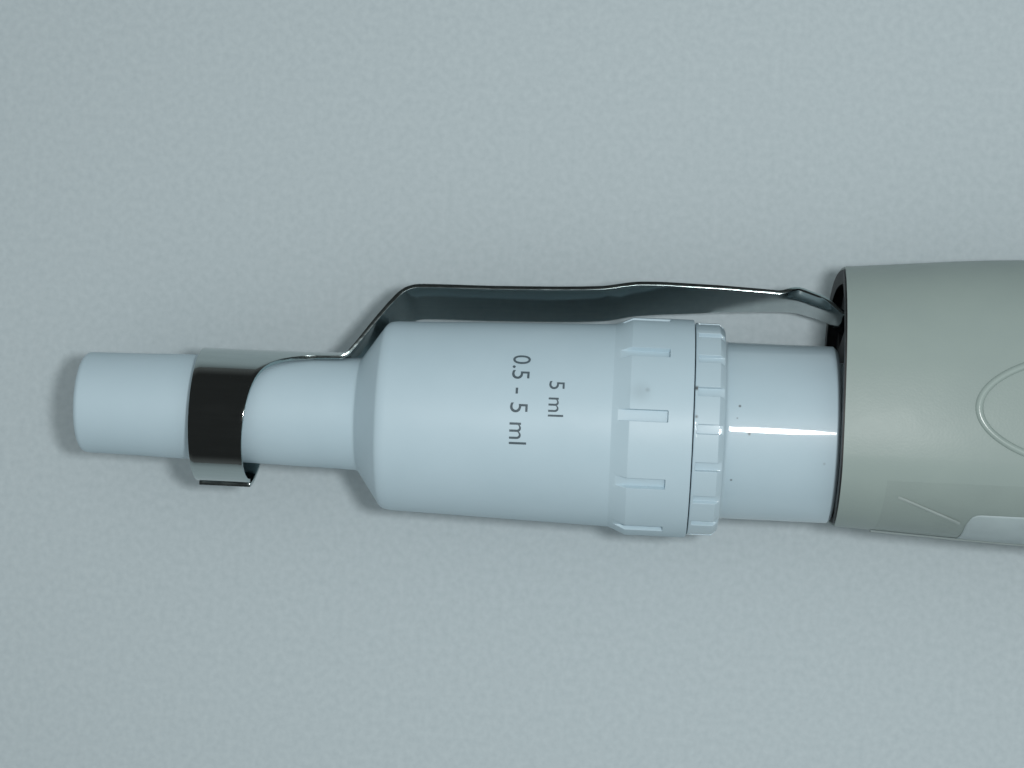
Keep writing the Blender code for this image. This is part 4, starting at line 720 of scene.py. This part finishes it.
def handle_spot(x, angle, ahead, lift=0.0):
    """Point of the handle's outer form: angle 0 at the front, pi at the back."""
    inside = min(max(x, HANDLE_START), HANDLE_TOP - 1e-6)
    front, back = smoothly(PROFILE, inside, 1) + lift, smoothly(PROFILE, inside, 2) + lift
    low = max(0.0, 1 - (inside - HANDLE_START) / NARROWING_LENGTH)
    half_width = HALF_WIDTH - BOTTOM_NARROWING * low ** 2 + lift
    blend = min(max((inside - FACE_START + HEAD_BLEND_LEAD) / HEAD_BLEND_LENGTH, 0.0), 1.0)
    power = GRIP_SQUARENESS + (HEAD_SQUARENESS - GRIP_SQUARENESS) * (blend if ahead else 0.0)
    start = FLAT_FRONT if ahead else FLAT_BACK
    y = abs(math.cos(angle)) ** (2 / power) * ((front if ahead else back) - start) + start
    y = y if ahead else -y
    z = abs(math.sin(angle)) ** (2 / power) * half_width
    into = min(max(inside - (HANDLE_TOP - TOP_ROUND), 0.0), TOP_ROUND)
    closing = TOP_SIZE + (1 - TOP_SIZE) * math.sqrt(max(0.0, 1 - (into / TOP_ROUND) ** 2))
    middle = (front - back) / 2
    return middle + (y - middle) * closing, z * closing


def round_handle(x, share, lift=0.0):
    """The same, by the share of the way from front to back, with the gently crowned side between."""
    curved = min(share, 1 - share, QUARTER_SHARE) / QUARTER_SHARE
    if share < 0.5:
        y, z = handle_spot(x, math.pi / 2 * curved, True, lift)
    else:
        y, z = handle_spot(x, math.pi / 2 * (2 - curved), False, lift)
    if QUARTER_SHARE < share < 1 - QUARTER_SHARE:
        ahead = handle_spot(x, math.pi / 2, True, lift)
        behind = handle_spot(x, math.pi / 2, False, lift)
        along = (share - QUARTER_SHARE) / (1 - 2 * QUARTER_SHARE)
        y, z = (a + (b - a) * along for a, b in zip(ahead, behind))
    fall = (1 - math.cos(math.pi * min(abs(y - CROWN_MIDDLE) / CROWN_REACH, 1.0))) / 2
    return y, z * (1 - SIDE_CROWN / HALF_WIDTH * fall)


# The shells' end is set back towards the seam. Painted shade: a thin black sheet lines the end inside,
# and another covers the shells' end face round the neck, so that the open end reads dark.
END_SET_BACK = 0.8 * MM
NOSE_PLATE_START = 108.3 * MM
LIP_EDGE = 0.35 * MM
LIP_WIDTH = 2.0 * MM
LIP_THICKNESS = 0.2 * MM


def set_back(z):
    """How far the handle's end is set back at this height over the seam."""
    return END_SET_BACK * max(0.0, 1 - abs(z) / HALF_WIDTH) ** 2


def round_nose(column, inset, row=0.0):
    """Point inside the handle's end, right round it, from the rim to the plate, clear of the neck."""
    y, z = round_handle(HANDLE_START, 1 - abs(2 * column - 1), -inset)
    x = (RIM_START - LIP_THICKNESS / 2 + set_back(z)) * (1 - row) + NOSE_PLATE_START * row
    grow = max(1.0, (NECK_RADIUS + 0.1 * MM) / math.hypot(y, z)) if x < NECK_END else 1.0
    return x, y * grow, z * grow * (1 if column < 0.5 else -1)


shade_lip = shaped_sheet("nose_shade_lip", 4, 120, lambda row, column: round_nose(
    column, LIP_EDGE + LIP_WIDTH * row))
shade_sleeve = shaped_sheet("nose_shade_sleeve", 4, 120, lambda row, column: round_nose(
    column, WALL + LIP_THICKNESS, 0.1 + 0.9 * row))
# Both sheets take the nose plate's black nylon: painted shade at the open end
for sheet in (shade_lip, shade_sleeve):
    thicken(sheet, LIP_THICKNESS, 0.0)
    sheet.data.materials.append(black_nylon)
only(nose_plate, shade_lip, shade_sleeve)
bpy.ops.object.join()

# Rows of each shell's grid, from the end to the top
STRAIGHT_ROWS, ARC_ROWS, CAP_ROWS = 84, 12, 4


def shell_spot(row, column):
    """Straight rows, then the rounded top, then rows that close in on the top's middle."""
    number = round(row * (STRAIGHT_ROWS + ARC_ROWS + CAP_ROWS))
    arc_start = HANDLE_TOP - TOP_ROUND
    if number <= STRAIGHT_ROWS:
        x = RIM_START + (arc_start - RIM_START) * number / STRAIGHT_ROWS
        x += set_back(round_handle(x, column)[1]) if number == 0 else 0.0
    else:
        turn = math.pi / 2 * min((number - STRAIGHT_ROWS) / ARC_ROWS, 1.0)
        x = arc_start + TOP_ROUND * math.sin(turn)
    y, z = round_handle(x, column)
    inward = max(0.0, (number - STRAIGHT_ROWS - ARC_ROWS) / CAP_ROWS)
    middle = (round_handle(x, 0.0)[0] + round_handle(x, 1.0)[0]) / 2
    return x, y + (middle - y) * inward, max(z * (1 - inward), SEAM / 2)


def block(name, size, place=(0, 0, 0)):
    """A block of this size, centred on a place."""
    piece = fresh(name, bpy.ops.mesh.primitive_cube_add, size=1.0)
    piece.scale = size
    settle(piece, place)
    return piece


def box(name, low, high):
    """A block between two corners that are measured from the liquid end's axis."""
    return block(name, [b - a for a, b in zip(low, high)], AXIS + (Vector(low) + Vector(high)) / 2)


def pin(name, radius, low, high, x, y):
    """A round bar across the handle, along Z."""
    piece = fresh(name, bpy.ops.mesh.primitive_cylinder_add, vertices=48, radius=radius,
                  depth=high - low)
    settle(piece, AXIS + Vector((x, y, (low + high) / 2)))
    return piece


def combine(piece, other, operation):
    """Cut another shape from a piece, or join it on, and use the other up."""
    apply_modifier(piece, "BOOLEAN", operation=operation, object=other, solver="EXACT")
    bpy.data.objects.remove(other)


def rounded_plate(name, length, height, width, corner):
    """A plate in the XZ plane, centred, with its four upright corners rounded."""
    piece = block(name, (length, height, width))
    mode("EDIT")
    bpy.ops.mesh.select_mode(type="EDGE")
    bpy.ops.mesh.select_all(action="DESELECT")
    mode("OBJECT")
    for edge in piece.data.edges:
        a, b = (piece.data.vertices[i].co for i in edge.vertices)
        edge.select = abs(a.y - b.y) > height / 2
    mode("EDIT")
    bpy.ops.mesh.bevel(offset=corner, segments=8, affect="EDGES")
    mode("OBJECT")
    return piece


def on_face(along, up, aside):
    """A point of the leaning head face, in the object's frame."""
    return (AXIS + Vector((FACE_X, FACE_HEIGHT, 0))
            + Matrix.Rotation(-FACE_LEAN, 3, "Z") @ Vector((along, up, aside)))


SCREWS = tuple((HANDLE_START + x, y) for x, y in (
    (20.5 * MM, 8.8 * MM), (29.5 * MM, -8.8 * MM), (109.0 * MM, 8.0 * MM),
    (HANDLE_TOP - HANDLE_START - 14.0 * MM, -5.0 * MM)))
SCREW_SINK = 4.6 * MM
SCREW_HEAD_DEPTH = 2.3 * MM          # from the seat to the top of the head
POST_RADIUS = 3.4 * MM
POST_FOOT, POST_SINK = 1 * MM, 0.3 * MM       # over the seam, and under the surface
HEAD_HOLE_RADIUS, SCREW_HOLE_RADIUS = 2.4 * MM, 1.4 * MM
BUTTON_START = 184.5 * MM
TRIGGER_PIVOT = (213.5 * MM, -11.2 * MM)
TRIGGER_HALF = 5.5 * MM
HOOK_X = 232.5 * MM
CONTACT_X = 261.9 * MM
OUTSIDE, INSIDE = -HEAD_BACK - 3 * MM, -HEAD_BACK + 3.6 * MM
# Openings in the shells: two corners of each, measured from the liquid end's axis
OPENINGS = (
    ("button_slot", (BUTTON_START - 8.6 * MM, 16.8 * MM, -4.6 * MM),
     (BUTTON_START + 18.6 * MM, 30.2 * MM, 4.6 * MM)),
    ("trigger_slot", (TRIGGER_PIVOT[0] - 26.7 * MM, OUTSIDE, -TRIGGER_HALF - 0.4 * MM),
     (TRIGGER_PIVOT[0] + 3.2 * MM, TRIGGER_PIVOT[1] + 0.2 * MM, TRIGGER_HALF + 0.4 * MM)),
    ("hook_hole", (HOOK_X - 2.9 * MM, OUTSIDE, -5.9 * MM), (HOOK_X + 2.9 * MM, INSIDE, 5.9 * MM)),
    ("contact_hole", (CONTACT_X - 4.3 * MM, OUTSIDE, 2 * MM), (CONTACT_X + 4.3 * MM, INSIDE, 6 * MM)),
)


def share_at(x, y):
    """Share of the way round the handle at which its side reaches y."""
    low, high = 0.0, 1.0
    for _ in range(40):
        middle = (low + high) / 2
        low, high = (middle, high) if round_handle(x, middle)[0] > y else (low, middle)
    return low


def side_height(x, y):
    """Height of the left side over a point of the middle plane, found on the outer form."""
    return round_handle(x, share_at(x, y))[1]


# ABS from a spark-eroded mould: matt, its grain about 0.3 mm, faintly mottled by handling
matt_abs = moulded("matt_abs", "909F9B", "8B9A97", 0.33, 0.3, 0.012, 14.0)
matt_abs.node_tree.nodes["Principled BSDF"].inputs["Specular IOR Level"].default_value = 0.16

for side in ("left", "right"):
    shell = shaped_sheet(side + "_shell_fine", STRAIGHT_ROWS + ARC_ROWS + CAP_ROWS, 40, shell_spot)
    thicken(shell, WALL, -1.0)
    if side == "right":
        for x, y in SCREWS:
            seat = side_height(x, y)
            lowest = min(side_height(x, y - POST_RADIUS), side_height(x, y + POST_RADIUS), seat)
            combine(shell, pin("post", POST_RADIUS, POST_FOOT, lowest - POST_SINK, x, y), "UNION")
            combine(shell, pin("head_hole", HEAD_HOLE_RADIUS, seat - SCREW_SINK, seat + 2 * MM, x, y),
                    "DIFFERENCE")
            combine(shell, pin("screw_hole", SCREW_HOLE_RADIUS, 0.0, seat, x, y), "DIFFERENCE")
    face_opening = rounded_plate("face_opening", 52.6 * MM, 12 * MM, 24.0 * MM, 4.3 * MM)
    settle(face_opening, on_face(0, 0, 0), (0, 0, -FACE_LEAN))
    combine(shell, face_opening, "DIFFERENCE")
    for opening in OPENINGS:
        combine(shell, box(*opening), "DIFFERENCE")
    if side == "right":
        only(shell)
        shell.scale = (1, 1, -1)
        settle(shell, (0, 0, 2 * AXIS.z))
        mode("EDIT")
        bpy.ops.mesh.select_all(action="SELECT")
        bpy.ops.mesh.flip_normals()
        mode("OBJECT")
    ease_edges(shell, 0.25 * MM, 3, 45.0)
    hand_over(shell, matt_abs, "handle", side + "_shell")


# Raised oval on the left side: a half-round bead of the same moulding, about 1 mm wide.
OVAL_CENTRE = (143.4 * MM, 4.9 * MM)
OVAL_LENGTH = 37.9 * MM
OVAL_WIDTH = 15.8 * MM
OVAL_BEAD = 0.55 * MM                # radius of the bead
OVAL_SINK = 0.12 * MM
TUBE = 0.1                           # tube radius of the plain ring, before it is shaped

oval = fresh("raised_oval", bpy.ops.mesh.primitive_torus_add, major_segments=120,
             minor_segments=14, major_radius=1.0, minor_radius=TUBE)
for corner in oval.data.vertices:
    around = math.atan2(corner.co.y, corner.co.x)
    out, up = ((way / TUBE) * OVAL_BEAD for way in (corner.co.xy.length - 1.0, corner.co.z))
    x = OVAL_CENTRE[0] + (OVAL_LENGTH / 2 + out) * math.cos(around)
    y = OVAL_CENTRE[1] + (OVAL_WIDTH / 2 + out) * math.sin(around)
    corner.co = AXIS + Vector((x, y, side_height(x, y) - OVAL_SINK + up))
only(oval)
bpy.ops.object.shade_smooth()
# The same ABS, glossier where wear has polished its crest, and coloured paler than the shell: a painted
# sheen along the bead
worn_abs_and_sheen = moulded("worn_abs_and_sheen", "98A8A4", "91A19D", 0.22, 0.3, 0.006, 9.0)
hand_over(oval, worn_abs_and_sheen, "handle")


# Write-on label: a bare white vinyl sticker low on the left shell, under a strip of clear tape
# that has a crease across it and lifts along its lower edge.
LABEL_START, LABEL_END = 124.2 * MM, 176.0 * MM
LABEL_TOP = -9.6 * MM
LABEL_CORNER = 1.6 * MM
LABEL_FOOT, TAPE_FOOT, CURL_START = 0.955, 0.962, 0.94      # shares of the way round the handle
LABEL_LIFT, LABEL_THICKNESS = 0.05 * MM, 0.04 * MM
TAPE_START, TAPE_END = 112.4 * MM, 180.0 * MM
TAPE_TOP = -5.4 * MM
TAPE_LIFT = 0.09 * MM
TAPE_SLANT = 0.5 * MM
CREASE_WIDTH, CREASE_RISE, CURL_RISE = 0.4 * MM, 0.12 * MM, 0.2 * MM
CREASE = ((114.6 * MM, -7.6 * MM), (123.4 * MM, -10.9 * MM))


def label_spot(row, column):
    """Rectangle with rounded corners at its upper edge."""
    x = LABEL_START + (LABEL_END - LABEL_START) * row
    near = max(0.0, LABEL_CORNER - min(x - LABEL_START, LABEL_END - x))
    top = LABEL_TOP - (LABEL_CORNER - math.sqrt(max(0.0, LABEL_CORNER ** 2 - near ** 2)))
    share = share_at(x, top) + (LABEL_FOOT - share_at(x, top)) * column
    return (x, *round_handle(x, share, LABEL_LIFT))


def tape_spot(row, column):
    """Strip over the label, its end cut a little askew."""
    x = TAPE_START + (TAPE_END - TAPE_START) * row + TAPE_SLANT * (1 - column) * (1 - row)
    top = share_at(x, TAPE_TOP)
    return (x, *round_handle(x, top + (TAPE_FOOT - top) * column, TAPE_LIFT))


def crease_spot(row, column):
    """Folded ridge across the tape, highest halfway."""
    x, y = (a + (b - a) * row for a, b in zip(*CREASE))
    ridge = CREASE_RISE * math.sin(math.pi * column) * math.sin(math.pi * row) ** 0.5
    share = share_at(x, y + CREASE_WIDTH * (0.5 - column))
    return (x, *round_handle(x, share, TAPE_LIFT + ridge))


def curl_spot(row, column):
    """Lower edge of the tape, curled off the shell."""
    x = TAPE_START + (TAPE_END - TAPE_START) * row
    share = CURL_START + (TAPE_FOOT - CURL_START) * column
    return (x, *round_handle(x, share, TAPE_LIFT + CURL_RISE * math.sin(math.pi * column)))


label = shaped_sheet("write_on_label", 90, 24, label_spot)
thicken(label, LABEL_THICKNESS, 0.0)
# White vinyl, smooth, slightly yellowed and rubbed
white_vinyl = moulded("white_vinyl", "B0C1C4", "A8B8BB", 0.4, 0.6, 0.004, 5.0)
# Clear adhesive tape: a thin film, grey where the adhesive has dulled, shiny on top
clear_tape, tree, shader, place = new_finish("clear_tape")
tree.links.new(spread(tree, noise(tree, place, 4.0, 4.0), 0.02, 0.12), shader.inputs["Alpha"])
shader.inputs["Base Color"].default_value = linear("8C9896")
shader.inputs["Roughness"].default_value = 0.3
# The same film where it is folded or curled: cloudy from the fold, and opaque and paler than the clear
# film, a painted highlight where the crease and the curled edge catch the light
folded_tape_and_highlight = moulded("folded_tape_and_highlight", "9CA9A7", "92A09D", 0.35, 0.4, 0.01, 3.0)
for piece, finish in (
        (label, white_vinyl), (shaped_sheet("clear_tape", 60, 16, tape_spot), clear_tape),
        (shaped_sheet("tape_crease", 40, 8, crease_spot), folded_tape_and_highlight),
        (shaped_sheet("tape_curl", 60, 8, curl_spot), folded_tape_and_highlight)):
    only(piece)
    bpy.ops.object.shade_smooth()
    hand_over(piece, finish, "handle")


# Shell screws: four plated self-tapping screws with a cross recess, sunk in the right shell.
def cross_screw():
    """A domed pan head on its shank, along X with the head at the low end, its recess cut in."""
    screw = turned("shell_screw", [
        (0.0, 0.02 * MM), (0.0, 1.1 * MM), (0.18 * MM, 1.7 * MM), (0.55 * MM, 2.05 * MM),
        (0.8 * MM, 2.1 * MM), (2.0 * MM, 2.1 * MM), (2.0 * MM, 1.0 * MM), (19.0 * MM, 1.0 * MM),
        (19.5 * MM, 0.5 * MM), (19.5 * MM, 0.02 * MM),
    ], 40)
    ease_edges(screw, 0.08 * MM, 2, 30.0)
    for span in ((0.5 * MM, 2.2 * MM), (2.2 * MM, 0.5 * MM)):
        combine(screw, block("blade", (1.6 * MM, *span)), "DIFFERENCE")
    return screw


screw_pattern = cross_screw()
for number, (x, y) in enumerate(SCREWS, 1):
    screw = stand(f"shell_screw_{number}_fine", screw_pattern.data.copy())
    settle(screw, AXIS + Vector((x, y, -side_height(x, y) + SCREW_SINK - SCREW_HEAD_DEPTH)),
           (0, -math.pi / 2, 0))
    hand_over(screw, zinc_plating, "handle", f"shell_screw_{number}")
bpy.data.objects.remove(screw_pattern)


# Controls: thumb button, trigger and keys are moulded in pale satin ABS with eased edges. The
# button slides in the handle's front, and the trigger turns on a steel pin.
# Pale ABS, satin
satin_abs = moulded("satin_abs", "B2C4CC", "A8BAC2", 0.34, 0.25, 0.004, 8.0)
refined("ejector_button", "ejector", satin_abs, 0.2 * MM, 2, 40.0)
refined("trigger", "trigger", satin_abs, 0.7 * MM, 4, 32.0)
for side in ("left", "right"):
    refined(side + "_soft_key", side + "_key", satin_abs, 0.25 * MM, 3, 40.0)


# Head face: dark grey bezel snapped into the leaning face, with a clear window over a liquid
# crystal display. The joystick's rubber cap stands in the round opening.
DISPLAY_MIDDLE = 11.44 * MM
DISPLAY_DEPTH = -1.86 * MM
JOYSTICK_PLACE = (-15.6 * MM, -2.6 * MM, 0)
# Dark ABS, fine matt
dark_abs = moulded("dark_abs", "454B50", "3A4045", 0.5, 0.25, 0.008, 8.0)
refined("head_bezel", "handle", dark_abs, 0.25 * MM, 3, 40.0)
# Clear acrylic window, hard-coated
acrylic, tree, shader, place = new_finish("clear_acrylic")
haze = spread(tree, noise(tree, place, 10 / 3, 3.0), 0.0, 0.05)
tree.links.new(haze, shader.inputs["Roughness"])
shader.inputs["Base Color"].default_value = linear("DDE4E4")
shader.inputs["Transmission Weight"].default_value = 1.0
shader.inputs["IOR"].default_value = 1.49
refined("display_window", "handle", acrylic, 0.1 * MM, 2, 40.0)
# Reflective liquid crystal cell: grey-green, faintly rowed every 0.8 mm by its dots
crystal, tree, shader, place = new_finish("liquid_crystal")
rows = add_node(tree, "TexWave", {"Vector": place, "Scale": 400.0}, bands_direction="X")
tint(tree, shader, rows.outputs["Fac"], "93A08C", "9BA893")
shader.inputs["Roughness"].default_value = 0.25
dress(crystal, "display_module")
# Switched segments of the display: grey-black
segments_ink = moulded("display_segments", "2A322C", "252C27", 0.4, 0.5, 0.001, 3.0)


def on_display(along):
    """Where a point of the digits lies: the baseline runs along Z, the digits stand along X."""
    return lambda across, up: on_face(DISPLAY_MIDDLE + along + up, DISPLAY_DEPTH, across)


for name, words, along, width in (("volume_digits", "5.00", 1.0 * MM, 11.0 * MM),
                                  ("volume_unit", "ml", -4.6 * MM, 2.6 * MM)):
    digits = printed(name, words, on_display(along), width)
    hand_over(digits, segments_ink, "handle")

joystick_cap = turned("joystick_cap_fine", [
    (-1.2 * MM, 0.02 * MM), (-1.2 * MM, 1.5 * MM), (2.7 * MM, 1.5 * MM), (3.2 * MM, 2.6 * MM),
    (3.5 * MM, 3.8 * MM), (3.8 * MM, 4.1 * MM), (4.2 * MM, 4.2 * MM), (4.6 * MM, 4.05 * MM),
    (4.95 * MM, 3.5 * MM), (5.15 * MM, 2.9 * MM), (5.2 * MM, 2.4 * MM), (5.1 * MM, 1.9 * MM),
    (4.9 * MM, 1.3 * MM), (4.82 * MM, 0.6 * MM), (4.8 * MM, 0.02 * MM),
], 48)
only(joystick_cap)
bpy.ops.object.shade_smooth_by_angle(angle=math.radians(40))
settle(joystick_cap, on_face(*JOYSTICK_PLACE), (0, 0, math.pi / 2 - FACE_LEAN))
hand_over(joystick_cap, nitrile, "joystick", "joystick_cap")


# Finger hook: one thick moulding of the handle's grey ABS that curls over the index finger.
# Its flange inside the shells is left out, and its edges are well rounded.
HOOK_BEND = 14.0 * MM
HOOK_ROOT = -10.2 * MM
HOOK_START = -17.1 * MM
HOOK_STRAIGHT = -26.2 * MM
HOOK_HALF = 5.6 * MM
HOOK_THIN = 2.6 * MM                 # half its thickness
# How far each straight step reaches, and how much wider it gets
HOOK_STEPS = ((4.3 * MM, 6.8 / 5.6), (4.8 * MM, 7.6 / 6.8))
HOOK_CURL = math.radians(78)

finger_hook = box("finger_hook_fine", (HOOK_X - HOOK_THIN, HOOK_START, -HOOK_HALF),
                  (HOOK_X + HOOK_THIN, HOOK_ROOT, HOOK_HALF))
hook_end = AXIS.y + HOOK_START
pick(finger_hook, lambda centre: centre.y < hook_end + 1e-5)
for reach, widen in HOOK_STEPS:
    bpy.ops.mesh.extrude_region_move(TRANSFORM_OT_translate={"value": (0, -reach, 0)})
    bpy.ops.transform.resize(value=(1, 1, widen), center_override=AXIS)
bpy.ops.mesh.spin(steps=14, angle=HOOK_CURL, axis=(0, 0, 1),
                  center=AXIS + Vector((HOOK_X - HOOK_BEND, HOOK_STRAIGHT, 0)))
weld()
ease_edges(finger_hook, 1.9 * MM, 6, 40.0)
hand_over(finger_hook, matt_abs, "handle", "finger_hook")


# Charge contacts: two gold-plated pads in the head's back that meet the charging stand.
# Hard gold over nickel, with fine wiping marks along the handle
hard_gold = metal("hard_gold", "E2BE6E", "CDA552", 0.24, 0.4, (0.2, 1, 1))
for number in (1, 2):
    refined(f"charge_contact_{number}", "handle", hard_gold, 0.2 * MM)
